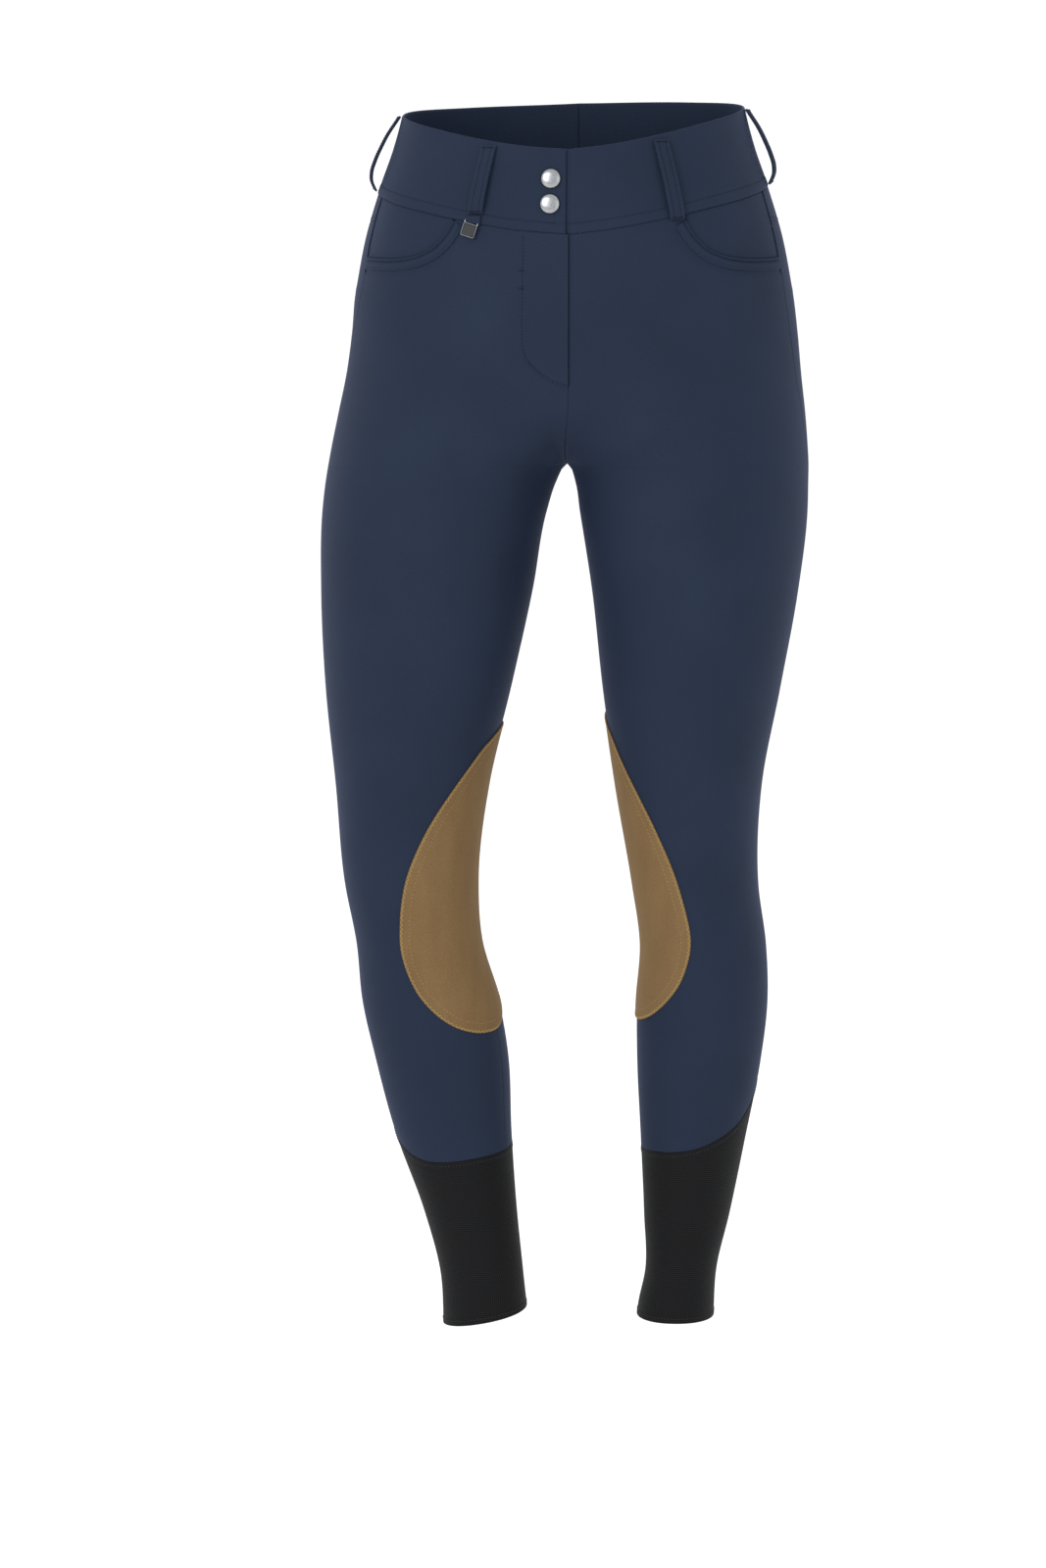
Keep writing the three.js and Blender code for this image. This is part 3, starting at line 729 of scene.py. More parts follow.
# %% Beside the pocket
# the pocket's hem runs from just inside the opening's start to just short of the side seam
HEM_START = 0.4
HEM_END = 0.6
HEM_SPREAD = 1.3
HEM_PROBE = 0.5
POCKET_LEVEL = -117.0
# the hollow that the hem's stitches pull into the front
HEM_REACH = 11
POCKET_HOLLOW = 0.85
HOLLOW_WIDTH = 2.4
HOLLOW_NEAR = 12
HOLLOW_STATIONS = 80


def beside_pocket(leg, share, width):
    """Places at a distance below the pocket opening, share of the way along it."""
    end = float(side_seam(leg, POCKET_LEVEL)) - HEM_END
    angle = mix(POCKET_START + HEM_START, end, share**HEM_SPREAD)
    edge = body_point(leg, angle, pocket_edge(angle)[..., 0])
    ahead = body_point(leg, angle + HEM_PROBE, pocket_edge(angle + HEM_PROBE)[..., 0]) - edge
    along = np.hypot(ahead[..., 0], ahead[..., 1])
    length = np.hypot(along, ahead[..., 2])
    z = np.minimum(edge[..., 2] - width * along / length, waist_seam(leg, angle) - 1)
    turn = np.degrees(width * ahead[..., 2] / length / np.hypot(edge[..., 0], edge[..., 1]))
    return surface(leg, angle + turn, z)


def pocket_dip(leg, points):
    """A soft hollow just below the stitched hem of the pocket."""
    share = np.linspace(0.05, 1, HOLLOW_STATIONS)
    line, _ = beside_pocket(leg, share, np.full(HOLLOW_STATIONS, HEM_REACH))
    z = points[..., 2]
    near = (z > line[:, 2].min() - HOLLOW_NEAR) & (z < line[:, 2].max() + HOLLOW_NEAR)
    away = np.full(z.shape, np.inf)
    away[near] = np.linalg.norm(points[near][:, None] - line[None], axis=2).min(axis=1)
    return POCKET_HOLLOW * dent(away, HOLLOW_WIDTH)


print("the hollow lies", HEM_REACH, "mm below the opening")

# %% Fronts and backs
FRONT_COLUMNS = 42
BACK_COLUMNS = 52
PANEL_ROLL = 0.7
BACK_ROLL = 0.9
CENTRE_ROLL = 0.3
HALF_FLY = 12


def leg_front(leg):
    levels = panel_levels(leg, lambda a: front_top(leg, a))
    points, normals = cloth_grid(leg, front_span, levels, EDGE + FLY_COLUMNS, EDGE, FRONT_COLUMNS)
    lift = fly_lift(points) if leg is RIGHT else -under_sink(points)
    lift = lift - pocket_dip(leg, points)
    z = points[..., 2]
    below_fly = (np.abs(points[..., 0]) < HALF_FLY) & (z < FLY_BOTTOM) & (z > crotch)
    roll = np.where(below_fly, CENTRE_ROLL, PANEL_ROLL)
    return sew(f"front_{leg.name}", points, normals, lift, lift - CLOTH, roll, keep_side=leg.inner)


def leg_back(leg):
    levels = panel_levels(leg, lambda a: yoke_seam(a)[..., 0])
    points, normals = cloth_grid(leg, back_span, levels, EDGE, EDGE, BACK_COLUMNS)
    return sew(f"back_{leg.name}", points, normals, 0.0, -CLOTH, BACK_ROLL, keep_side=leg.inner)


for leg in LEGS:
    for obj in (leg_front(leg), leg_back(leg)):
        print(obj.name, len(obj.data.polygons), "faces")

# %% [markdown]
# ## Yokes, pocket facings and waistband
# These are narrower strips between two seams, so one function lays a grid between a lower and
# an upper edge. The rows close to a stitched row dip a little, as thread pulls the cloth down.

# %% Strips between two seams
STRIP_ROWS = 10
FACING_COLUMNS = 24
FACING_START = 0.7
FACING_ROLL = 0.8
POCKET_SINK = 0.9


def strip_levels(low, high, first, last, count):
    """Rows between two edges: first and last are distances from them, in millimetres."""
    levels = [lambda a, e=e: low(a) + e for e in first]
    levels += [lambda a, k=k: mix(low(a) + first[-1], high(a) - last[-1], k / (count + 1))
               for k in range(1, count + 1)]
    levels += [lambda a, e=e: high(a) - e for e in last[::-1]]
    return levels


def yoke(leg):
    levels = strip_levels(lambda a: yoke_seam(a)[..., 0] + SEAM, lambda a: waist_seam(leg, a) - SEAM,
                          EDGE, EDGE, STRIP_ROWS)
    points, normals = cloth_grid(leg, back_span, levels, EDGE, EDGE, BACK_COLUMNS)
    return sew(f"yoke_{leg.name}", points, normals, 0.0, -CLOTH, BACK_ROLL, keep_side=leg.inner)


def facing_span(leg, z):
    return np.full(z.shape, POCKET_START + FACING_START), front_span(leg, z)[1]


def pocket_facing(leg):
    levels = strip_levels(lambda a: front_top(leg, a) + 2 * SEAM, lambda a: waist_seam(leg, a) - SEAM,
                          EDGE, EDGE, STRIP_ROWS)
    points, normals = cloth_grid(leg, facing_span, levels, EDGE, EDGE, FACING_COLUMNS)
    return sew(f"pocket_facing_{leg.name}", points, normals, -POCKET_SINK, -POCKET_SINK - CLOTH, FACING_ROLL)


for leg in LEGS:
    for obj in (yoke(leg), pocket_facing(leg)):
        print(obj.name, len(obj.data.polygons), "faces")

# %% [markdown]
# The waistband is cut double and turned over at the top. The right half laps over the left at
# the centre front, where the left half dips under it.

# %% Waistband halves
BAND_OUTER = 0.6
BAND_INNER = -1.6
OVERLAP_OUTER = 1.2
OVERLAP_INNER = -0.7
OVERLAP_EDGE = 91.1
OVERLAP_LENGTH = 40
OVERLAP_FADE = 10
UNDERLAP_SINK = 1.6
UNDERLAP_END = 71
UNDERLAP_START = 2.6
UNDERLAP_RAMP = 3.8
BAND_STITCH = 8
BAND_ROLL = 1.6
BAND_EDGE = [0, 0.15, 0.5, 1.1, 2.2]
BAND_LOW = BAND_EDGE + [4, 5.6, 6.8, 7.4, 8, 8.6, 9.2, 10.4]
BAND_ROWS = 18
BAND_LEVEL = -60.0
BAND_GROOVE = 0.45
BAND_GROOVE_WIDTH = 0.7
# below the stitches the band is full of seam turnings and stands out
BAND_PLUMP = 0.25
BAND_PLUMP_FADE = 2
# degrees from the band's end to its first columns, and to the even ones between
BAND_SIDE = np.array([0, 0.072, 0.24, 0.6, 1.2])
BAND_FIRST = 2.4
BAND_LAST = 0.9
RIGHT_BAND_COLUMNS = 150
LEFT_BAND_COLUMNS = 170


def band_grid(leg, start, columns):
    levels = strip_levels(lambda a: waist_seam(leg, a) + SEAM, lambda a: waist_top(leg, a),
                          BAND_LOW, BAND_EDGE, BAND_ROWS)
    end = 270 - float(seam_angle(leg, np.array(BAND_LEVEL)))
    even = mix(start + BAND_FIRST, end - BAND_LAST, np.linspace(0, 1, columns + 1))
    angle = np.concatenate([start + BAND_SIDE, even, end - BAND_SIDE[::-1] / 2])
    angle = np.tile(angle, (len(levels), 1))
    z = np.array([level(a) for level, a in zip(levels, angle)])
    points, normals = surface(leg, angle, z, past_centre=True)
    from_stitch = z - waist_seam(leg, angle) - SEAM - BAND_STITCH
    groove = BAND_GROOVE * dent(from_stitch, BAND_GROOVE_WIDTH)
    return points, normals, groove - BAND_PLUMP * ease(-from_stitch / BAND_PLUMP_FADE)


def overlap(points):
    """1 where the right band laps over the left, fading to 0 beyond."""
    fade = ease((-points[..., 0] - OVERLAP_LENGTH) / OVERLAP_FADE)
    return np.where(points[..., 1] > 0, 0, 1 - fade)


def right_band():
    points, normals, dip = band_grid(RIGHT, OVERLAP_EDGE, RIGHT_BAND_COLUMNS)
    over = overlap(points)
    outer = mix(BAND_OUTER, OVERLAP_OUTER, over) - dip
    return sew("waistband_right", points, normals, outer, mix(BAND_INNER, OVERLAP_INNER, over), BAND_ROLL)


def left_band():
    points, normals, dip = band_grid(LEFT, UNDERLAP_END, LEFT_BAND_COLUMNS)
    covered = ease((UNDERLAP_START - points[..., 0]) / UNDERLAP_RAMP)
    sink = np.where(points[..., 1] > 0, 0, UNDERLAP_SINK * covered)
    outer = BAND_OUTER - sink - np.where(sink > 0.01, 0, dip)
    return sew("waistband_left", points, normals, outer, BAND_INNER - sink, BAND_ROLL)


for obj in (right_band(), left_band()):
    print(obj.name, len(obj.data.polygons), "faces")

# %% [markdown]
# ## Cuffs
# The cuffs are rings of thin stretch mesh, joined to the leg by a slanted seam with a smooth tape
# along it, and turned up at the hem.

# %% Cuffs
CUFF_CLOTH = 1.0
TAPE = 6
CUFF_TOP = [0, 0.12, 0.4, 0.9, 1.8, 3.4, TAPE - 0.8, TAPE - 0.2, TAPE + 0.4, TAPE + 1.2]
CUFF_ROWS = 44
CUFF_COLUMNS = 96
CUFF_ROLL = 0.8
SEAM_TAPE_RISE = 0.25
HEM_TAPE_RISE = 0.2
TAPE_FADE = 0.8
TAPE_GROOVE = 0.15
TAPE_GROOVE_WIDTH = 0.6


def cuff(leg):
    levels = strip_levels(lambda a: hem_line(leg, a), lambda a: leg_seam(leg, a) - SEAM,
                          CUFF_TOP, CUFF_TOP, CUFF_ROWS)
    angle = np.linspace(0, 360, CUFF_COLUMNS, endpoint=False) + float(twist(leg, CUFF_LEVEL))
    angle = np.tile(angle, (len(levels), 1))
    z = np.array([level(a) for level, a in zip(levels, angle)])
    points, normals = surface(leg, angle % 360, z)
    from_top = leg_seam(leg, angle) - z
    from_hem = z - hem_line(leg, angle)
    groove = dent(from_top - TAPE, TAPE_GROOVE_WIDTH) + dent(from_hem - TAPE, TAPE_GROOVE_WIDTH)
    raised = SEAM_TAPE_RISE * ease((TAPE - from_top) / TAPE_FADE)
    raised += HEM_TAPE_RISE * ease((TAPE - from_hem) / TAPE_FADE)
    return sew(f"cuff_{leg.name}", points, normals, raised - TAPE_GROOVE * groove, -CUFF_CLOTH, CUFF_ROLL,
               wrap=True)


for leg in LEGS:
    print(cuff(leg).name, "made")

# %% [markdown]
# ## Knee patches
# A patch of brushed suede covers the inseam at the knee, where the saddle is gripped. Its outline
# is a list of rows with a front and a back edge, and the rows bunch up at its rounded ends.

# %% Knee patches
# columns: z, angle of the front edge, angle of the back edge, both from the inseam
PATCH = [
    (-484.5, -8, -22),
    (-486, -1, -29),
    (-489, 7, -36),
    (-494, 16, -43.5),
    (-501, 25.5, -50.5),
    (-514, 35.5, -57.5),
    (-530, 46, -64),
    (-548, 56, -69),
    (-570, 65.5, -73),
    (-600, 75, -77),
    (-625, 80, -78),
    (-645, 82, -76),
    (-662, 82, -71),
    (-680, 78.5, -63),
    (-700, 71.5, -50),
    (-715, 61.5, -36),
    (-725, 51, -22),
    (-731, 41, -11),
    (-735, 29, 0),
    (-736.3, 20, 9),
]
PATCH_SEAT = 0.2
PATCH_CLOTH = 1.1
patch_row = smooth_table([(k, *row) for k, row in enumerate(PATCH)])
PATCH_STEPS = 6
PATCH_COLUMNS = 48
PATCH_BUNCH = 0.85
PATCH_ROLL = 1.3


def patch_edges(leg, row):
    """Height and both edge angles of the patch at a row, which may lie between two."""
    z, front, back = np.moveaxis(patch_row(np.asarray(row, float)), -1, 0)
    level = z - leg.drop
    return level, front + twist(leg, level), back + twist(leg, level)


def knee_patch(leg):
    row = np.linspace(0, len(PATCH) - 1, (len(PATCH) - 1) * PATCH_STEPS + 1)
    level, front, back = patch_edges(leg, row)
    share = (1 - np.cos(np.linspace(0, np.pi, PATCH_COLUMNS + 1))) / 2
    share = mix(np.linspace(0, 1, PATCH_COLUMNS + 1), share, PATCH_BUNCH)
    angle = mix(front[:, None], back[:, None], share[None])
    z = np.tile(level[:, None], (1, PATCH_COLUMNS + 1))
    points, normals = surface(leg, angle % 360, z)
    return sew(f"knee_patch_{leg.name}", points, normals, PATCH_SEAT + PATCH_CLOTH, PATCH_SEAT, PATCH_ROLL)


for leg in LEGS:
    print(knee_patch(leg).name, "made")

# %% [markdown]
# ## Pocket hems and the fly shield
# The pocket opening is turned over a thin piping and sewn down, so its edge reads as a fine
# roll, a groove, and then a soft flat hem. A table gives the height across the hem, and the grid
# follows the opening. Behind the front edge a shield of the same cloth closes the fly.

# %% Pocket hems
HEM_STITCH = 7.6
HEM_UNDER = 0.12
# columns: distance below the opening, height of the face
hem_height = smooth_table([
    (0.4, 1.3),
    (1.1, 2.1),
    (1.8, 1.7),
    (2.5, 0.45),
    (3.2, 1.2),
    (4.4, 1.8),
    (6.2, 1.7),
    (HEM_STITCH, 0.9),
    (8.4, 0.95),
    (9.5, 0.2),
])
HEM_ROWS = [0.4, 0.6, 0.85, 1.1, 1.45, 1.8, 2.15, 2.5, 2.85, 3.2, 3.7, 4.4, 5.3, 6.2, 7.0, HEM_STITCH,
            8.2, 8.8, 9.2, 9.5]
HEM_STATIONS = 90
HEM_ROLL = 0.6


def pocket_hem(leg):
    share, width = np.meshgrid(np.linspace(0, 1, HEM_STATIONS + 1), HEM_ROWS)
    points, normals = beside_pocket(leg, share, width)
    height = hem_height(width)[..., 0]
    return sew(f"pocket_hem_{leg.name}", points, normals, height, HEM_UNDER, HEM_ROLL)


for leg in LEGS:
    print(pocket_hem(leg).name, "made")

# %% Fly shield
SHIELD_SIDES = (-32, 7)
SHIELD_ENDS = (-212, -101)
SHIELD_BEHIND = 2.4
SHIELD_CLOTH = 1.0
SHIELD_ROLL = 0.9


def front_surface(x, z):
    """Points of the cloth straight ahead of x, on the front of the form."""
    x, z = np.broadcast_arrays(np.asarray(x, float), np.asarray(z, float))
    y = -halve(np.zeros(x.shape), np.full(x.shape, DEEPEST), lambda t: body_distance(x, -t, z) < 0)
    points = np.stack([x, y, z], axis=-1)
    return points, body_normal(points)


def fly_shield():
    x, z = np.meshgrid(np.linspace(*SHIELD_SIDES, 27), np.linspace(*SHIELD_ENDS, 61))
    points, normals = front_surface(x, z)
    return sew("fly_shield", points, normals, -SHIELD_BEHIND, -SHIELD_BEHIND - SHIELD_CLOTH, SHIELD_ROLL)


print(fly_shield().name, "made")

# %% [markdown]
# ## Belt loops
# A loop is a narrow folded strip, sewn down at both ends. The two front loops lie close to the
# band, and the side loops stand well off it. The strip is a grid too: down its length it
# follows the cloth at a distance, and across it keeps its width.

# %% Belt loops
LOOP_WIDTH = 12.5
LOOP_CLOTH = 2.8
LOOP_SEAT = 0.9
LOOP_STITCH = 3.4
LOOP_GROOVE = 0.28
LOOP_GROOVE_WIDTH = 0.5
LOOP_ROLL = 0.9
LOOP_ROWS = 72
LOOP_HALF = np.array([0, 0.15, 0.5, 1.1, 2.0, 2.8, LOOP_STITCH, 4.0, 5.0, LOOP_WIDTH / 2])
LOOP_COLUMNS = np.concatenate([LOOP_HALF, LOOP_WIDTH - LOOP_HALF[-2::-1]])
# columns: leg, angle at the top, angle at the foot, drop from the band's edge, length, stand off
LOOPS = {
    "belt_loop_front_right": (RIGHT, 124, 127, 4, 53, 2.6),
    "belt_loop_side_right": (RIGHT, 176, 176, 1, 60, 9),
    "belt_loop_front_left": (LEFT, 128.5, 132, 4.5, 62, 2.6),
    "belt_loop_side_left": (LEFT, 176, 176, 1, 60, 9),
    "belt_loop_back": (LEFT, 270, 270, 4, 58, 2.6),
}
# columns: share of the way down, share of the stand off
loop_bow = smooth_table([
    (0, 0),
    (0.1, 0.25),
    (0.25, 0.6),
    (0.45, 0.88),
    (0.65, 1),
    (0.8, 0.93),
    (0.9, 0.65),
    (0.97, 0.2),
    (1, 0),
])


def level_across(normals):
    """Directions that lie in the cloth and level."""
    across = np.cross([0, 0, 1], normals)
    return across / np.linalg.norm(across, axis=-1, keepdims=True)


def loop_grid(name, t, u):
    """Places on a loop: t of the way down and u millimetres across."""
    leg, top_angle, foot_angle, drop, length, stand = LOOPS[name]
    angle = mix(top_angle, foot_angle, t)
    z = waist_top(leg, float(top_angle)) - drop - length * t
    middle = body_point(leg, angle, z, past_centre=True)
    normals = body_normal(middle)
    lift = LOOP_SEAT + stand * loop_bow(t)[..., 0]
    aside = level_across(normals) * (u - LOOP_WIDTH / 2)[..., None]
    return middle + aside + normals * lift[..., None], normals


def belt_loop(name):
    u, t = np.meshgrid(LOOP_COLUMNS, np.linspace(0, 1, LOOP_ROWS + 1))
    points, normals = loop_grid(name, t, u)
    from_edge = np.minimum(u, LOOP_WIDTH - u)
    groove = LOOP_GROOVE * dent(from_edge - LOOP_STITCH, LOOP_GROOVE_WIDTH)
    return sew(name, points, normals, LOOP_CLOTH - groove, 0, LOOP_ROLL)


for name in LOOPS:
    print(belt_loop(name).name, "made")

# %% [markdown]
# ## Snaps and badge
# A snap's cap is stamped and domed over a thin seat ring, coloured near black as painted shadow
# round the cap's rim, and the badge is a small plate with a raised rim round a sunk enamel face,
# left plain. Both are rings of points stacked up and closed at their middles, so one function makes
# them from an outline and a short table.

# %% Stacked rings


def stand_on(leg, angle, z, height, turn=0.0):
    """Axes and origin of a part on the garment: its x across, y up and z out of the cloth."""
    point = body_point(leg, float(angle), float(z))
    normal = body_normal(point)
    across = level_across(normal)
    up = np.cross(normal, across)
    c, s = np.cos(np.radians(turn)), np.sin(np.radians(turn))
    return np.stack([across * c + up * s, up * c - across * s, normal], axis=1), point + normal * height


def stack_mesh(name, outline, steps, place):
    """Closed part from rings. outline(inset) is a ring, and steps hold inset, height and material."""
    axes, origin = place
    rings = []
    for inset, height, _ in steps:
        ring = outline(inset)
        rings.append(np.column_stack([ring, np.full(len(ring), height)]))
    count = len(rings[0])
    ends = [[0, 0, steps[0][1]], [0, 0, steps[-1][1]]]
    vertices = np.vstack([*rings, ends]) @ axes.T + origin
    low_end, high_end = len(vertices) - 2, len(vertices) - 1
    last = (len(rings) - 1) * count
    faces = []
    paint = []
    for i in range(count):
        j = (i + 1) % count
        faces.append((low_end, j, i))
        paint.append(steps[0][2])
        for k in range(len(rings) - 1):
            faces.append((k * count + i, k * count + j, (k + 1) * count + j, (k + 1) * count + i))
            paint.append(steps[k + 1][2])
        faces.append((high_end, last + i, last + j))
        paint.append(steps[-1][2])
    mesh = bpy.data.meshes.new(name)
    mesh.from_pydata((vertices * MM).tolist(), [], faces)
    mesh.polygons.foreach_set("material_index", paint)
    mesh.polygons.foreach_set("use_smooth", np.ones(len(faces), bool))
    mesh.update()
    return mesh


print("a part on the front faces", np.round(stand_on(RIGHT, 98, -56, 0)[0][:, 2], 2))

# %% Snaps
SNAP_RADIUS = 7.6
SNAP_SEGMENTS = 56
SNAP_STAND = OVERLAP_OUTER + 0.3
SNAPS = {"snap_upper": (97.7, -56), "snap_lower": (97.9, -75.5)}
# columns: inset from the rim, height, material
CAP = [
    (0.9, 0.46, 0),
    (0.2, 0.5, 0),
    (0, 0.9, 0),
    (0.05, 1.3, 0),
    (0.25, 1.7, 0),
    (0.7, 2.05, 0),
    (1.5, 2.4, 0),
    (2.6, 2.75, 0),
    (4, 3.0, 0),
    (5.6, 3.15, 0),
    (6.8, 3.19, 0),
]
# the seat ring stands a little past the cap's rim, and its near-black finish paints the shadow round the cap
SEAT = [
    (0.6, 0, 0),
    (-0.25, 0.04, 0),
    (-0.35, 0.22, 0),
    (-0.2, 0.38, 0),
    (1.2, 0.4, 0),
]


def round_ring(inset):
    angle = np.linspace(0, 2 * np.pi, SNAP_SEGMENTS, endpoint=False)
    return (SNAP_RADIUS - inset) * np.column_stack([np.cos(angle), np.sin(angle)])


for name, (angle, z) in SNAPS.items():
    place = stand_on(RIGHT, angle, z, SNAP_STAND)
    new_piece(f"{name}_cap", stack_mesh(name, round_ring, CAP, place), [name])
    new_piece(f"{name}_seat", stack_mesh(name, round_ring, SEAT, place))
    print(name, "made")

# %% Badge and its tab
BADGE_SIZE = (11.8, 10.6)
BADGE_CORNER = 1.3
BADGE_PLACE = (128.6, -96)
BADGE_STAND = 3.0
BADGE_TURN = -18
CORNER_STEPS = 6
SHARPEST = 0.12
LUG_SIZE = (0.9, 2.4)
LUG_CORNER = 0.4
LUG_INSET = 0.5
LUG_RISE = 0.7
LUG_SINK = 0.05
# columns: inset from the edge, height, material (0 rim, 1 enamel)
PLATE = [
    (0.5, 0, 0),
    (0.1, 0.1, 0),
    (0, 0.35, 0),
    (0, 1.0, 0),
    (0.08, 1.2, 0),
    (0.22, 1.3, 0),
    (0.42, 1.28, 0),
    (0.52, 1.1, 0),
    (0.56, 0.95, 1),
    (1.5, 0.93, 1),
    (3, 0.93, 1),
]
LUG = [
    (0.2, 0.1, 0),
    (0, 0.3, 0),
    (0, 0.9, 0),
    (0.15, 1.12, 0),
    (0.4, 1.2, 0),
]


def rounded_plate(size, corner):
    """Ring function of a plate with rounded corners."""

    def outline(inset):
        half = np.array(size) / 2 - inset
        radius = max(corner - inset, SHARPEST)
        quarter = np.linspace(0, np.pi / 2, CORNER_STEPS)
        ring = []
        for k, sign in enumerate([(1, 1), (-1, 1), (-1, -1), (1, -1)]):
            angle = quarter + k * np.pi / 2
            arc = radius * np.column_stack([np.cos(angle), np.sin(angle)])
            ring.append(np.array(sign) * (half - radius) + arc)
        return np.vstack(ring)

    return outline


badge_place = stand_on(RIGHT, *BADGE_PLACE, BADGE_STAND, turn=BADGE_TURN)
plate = stack_mesh("badge", rounded_plate(BADGE_SIZE, BADGE_CORNER), PLATE, badge_place)
new_piece("badge_enamel_plate", plate, ["badge_plate"])
for side_name, side in (("right", -1), ("left", 1)):
    axes, origin = badge_place
    offset = [side * (BADGE_SIZE[0] / 2 - LUG_INSET), BADGE_SIZE[1] / 2 + LUG_RISE, -LUG_SINK]
    lug_place = (axes, origin + axes @ np.array(offset))
    lug = stack_mesh("lug", rounded_plate(LUG_SIZE, LUG_CORNER), LUG, lug_place)
    new_piece(f"badge_lug_{side_name}", lug)

TAB_ANGLE = 127.6
TAB_ENDS = (-91.5, -84.5)
TAB_WIDTH = 12.4
TAB_CLOTH = 1.6
TAB_SEAT = 1.3
TAB_ROLL = 1.2


def badge_tab():
    u, z = np.meshgrid(np.linspace(0, 1, 25) * TAB_WIDTH, np.linspace(*TAB_ENDS, 17))
    middle = body_point(RIGHT, np.full(z.shape, TAB_ANGLE), z)
    normals = body_normal(middle)
    points = middle + level_across(normals) * (u - TAB_WIDTH / 2)[..., None]
    return sew("badge_tab", points, normals, TAB_SEAT + TAB_CLOTH, TAB_SEAT, TAB_ROLL)


print(badge_tab().name, "and the badge made")

# %% [markdown]
# ## Materials
# Each finish is a small node tree. The helper below adds a node, sets its fields, and feeds its
# inputs with plain values or with other nodes' outputs. Colours are written as sRGB hex, the way
# they are picked from a swatch, and one function turns them to linear light.

# %% Node helper and colours
# scale of a wave texture whose bands, straight or diagonal, are one unit apart
WAVE_BAND = 0.3142
WAVE_DIAGONAL = 0.4443


def add_node(tree, kind, inputs=None, **fields):
    node = tree.nodes.new(kind)
    for field, value in fields.items():
        setattr(node, field, value)
    for key, value in (inputs or {}).items():
        if isinstance(value, bpy.types.NodeSocket):
            tree.links.new(value, node.inputs[key])
        else:
            node.inputs[key].default_value = value
    return node


def colour(code):
    channels = [int(code[i:i + 2], 16) / 255 for i in (1, 3, 5)]
    return [c / 12.92 if c <= 0.04045 else ((c + 0.055) / 1.055) ** 2.4 for c in channels] + [1]


print("navy in linear light:", [round(c, 3) for c in colour("#2e3648")])

# %% [markdown]
# Every finish is built the same way: a few textures, a colour and a roughness made from them, and
# a surface with a fine bump. These short functions add one of those nodes each.

# %% Textures and surfaces


def new_material(name):
    material = bpy.data.materials.new(name)
    material.use_nodes = True
    material.node_tree.nodes.clear()
    return material, material.node_tree


def add_skin(tree, inputs, height, strength, depth):
    """Ends a material with its Principled surface and a bump that is depth millimetres high."""
    bump = add_node(tree, "ShaderNodeBump", {"Height": height, "Strength": strength, "Distance": depth * MM})
    skin = add_node(tree, "ShaderNodeBsdfPrincipled", {**inputs, "Normal": bump.outputs["Normal"]})
    add_node(tree, "ShaderNodeOutputMaterial", {"Surface": skin.outputs["BSDF"]})


def object_place(tree):
    return add_node(tree, "ShaderNodeTexCoord").outputs["Object"]


def cloth_place(tree):
    return add_node(tree, "ShaderNodeUVMap", uv_map="cloth").outputs["UV"]


def noise(tree, place, size, detail=2.0):
    """Noise with grains about size millimetres wide."""
    values = {"Vector": place, "Scale": 1 / (size * MM), "Detail": detail}
    return add_node(tree, "ShaderNodeTexNoise", values).outputs["Fac"]


def waves(tree, place, scale, direction, distortion=0.0):
    values = {"Vector": place, "Scale": scale, "Distortion": distortion}
    return add_node(tree, "ShaderNodeTexWave", values, bands_direction=direction).outputs["Fac"]


def both(tree, first, second):
    return add_node(tree, "ShaderNodeMath", {0: first, 1: second}, operation="MULTIPLY").outputs[0]


def spread(tree, factor, low, high, start=0.0, end=1.0):
    """Takes a factor that runs from start to end to one that runs from low to high."""
    values = {"Value": factor, "From Min": start, "From Max": end, "To Min": low, "To Max": high}
    return add_node(tree, "ShaderNodeMapRange", values).outputs[0]


def blend(tree, factor, first, second):
    values = {"Factor": factor, "A": first, "B": second}
    return add_node(tree, "ShaderNodeMix", values, data_type="RGBA").outputs["Result"]


def ramp(tree, factor, stops):
    """Colours by a factor. stops are pairs of place and hex colour."""
    node = add_node(tree, "ShaderNodeValToRGB", {"Fac": factor})
    for element, (place, code) in zip(node.color_ramp.elements, stops):
        element.position = place
        element.color = colour(code)
    return node.outputs["Color"]


print("textures: noise and waves")

# %% [markdown]
# The navy cloth is a brushed stretch twill of polyamide and elastane: dense, smooth and matte,
# with a nap so short that it only lightens the cloth where it turns away from the eye. Its ribs
# are half a millimetre apart and are drawn at 1.3 mm, so that a close view can show them.
# Noise on Object coordinates adds the slow unevenness of dyed cloth, and the ribs are painted a
# little lighter on top and darker between, as painted light and shade.

# %% Brushed stretch twill
TWILL_RIB = 1.3
FLECK = 1.2
BLOTCH = 80


def brushed_twill():
    # woven on the bias, dyed in the piece and lightly brushed: soft light, no shine
    material, tree = new_material("brushed stretch twill")
    place = object_place(tree)
    rib = waves(tree, cloth_place(tree), WAVE_DIAGONAL / (TWILL_RIB * MM), "DIAGONAL", 0.5)
    fleck = noise(tree, place, FLECK)
    dyed = ramp(tree, noise(tree, place, BLOTCH), [(0.32, "#192130"), (0.7, "#1d2637")])
    # painted light and shade: the colour is lighter on the ribs' crests and darker in the hollows between
    # them, flecked at random; the same pattern is the bump
    rib_relief_and_shade = both(tree, rib, fleck)
    add_skin(tree, {
        "Base Color": blend(tree, rib_relief_and_shade, dyed, colour("#232e42")),
        "Roughness": spread(tree, fleck, 0.66, 0.8),
        "Specular IOR Level": 0.1,
        "Sheen Weight": 0.12,
        "Sheen Roughness": 0.4,
        "Sheen Tint": colour("#7388c8"),
    }, height=rib_relief_and_shade, strength=0.3, depth=0.25)
    return material


twill = brushed_twill()
print(twill.name, "with", len(twill.node_tree.nodes), "nodes")

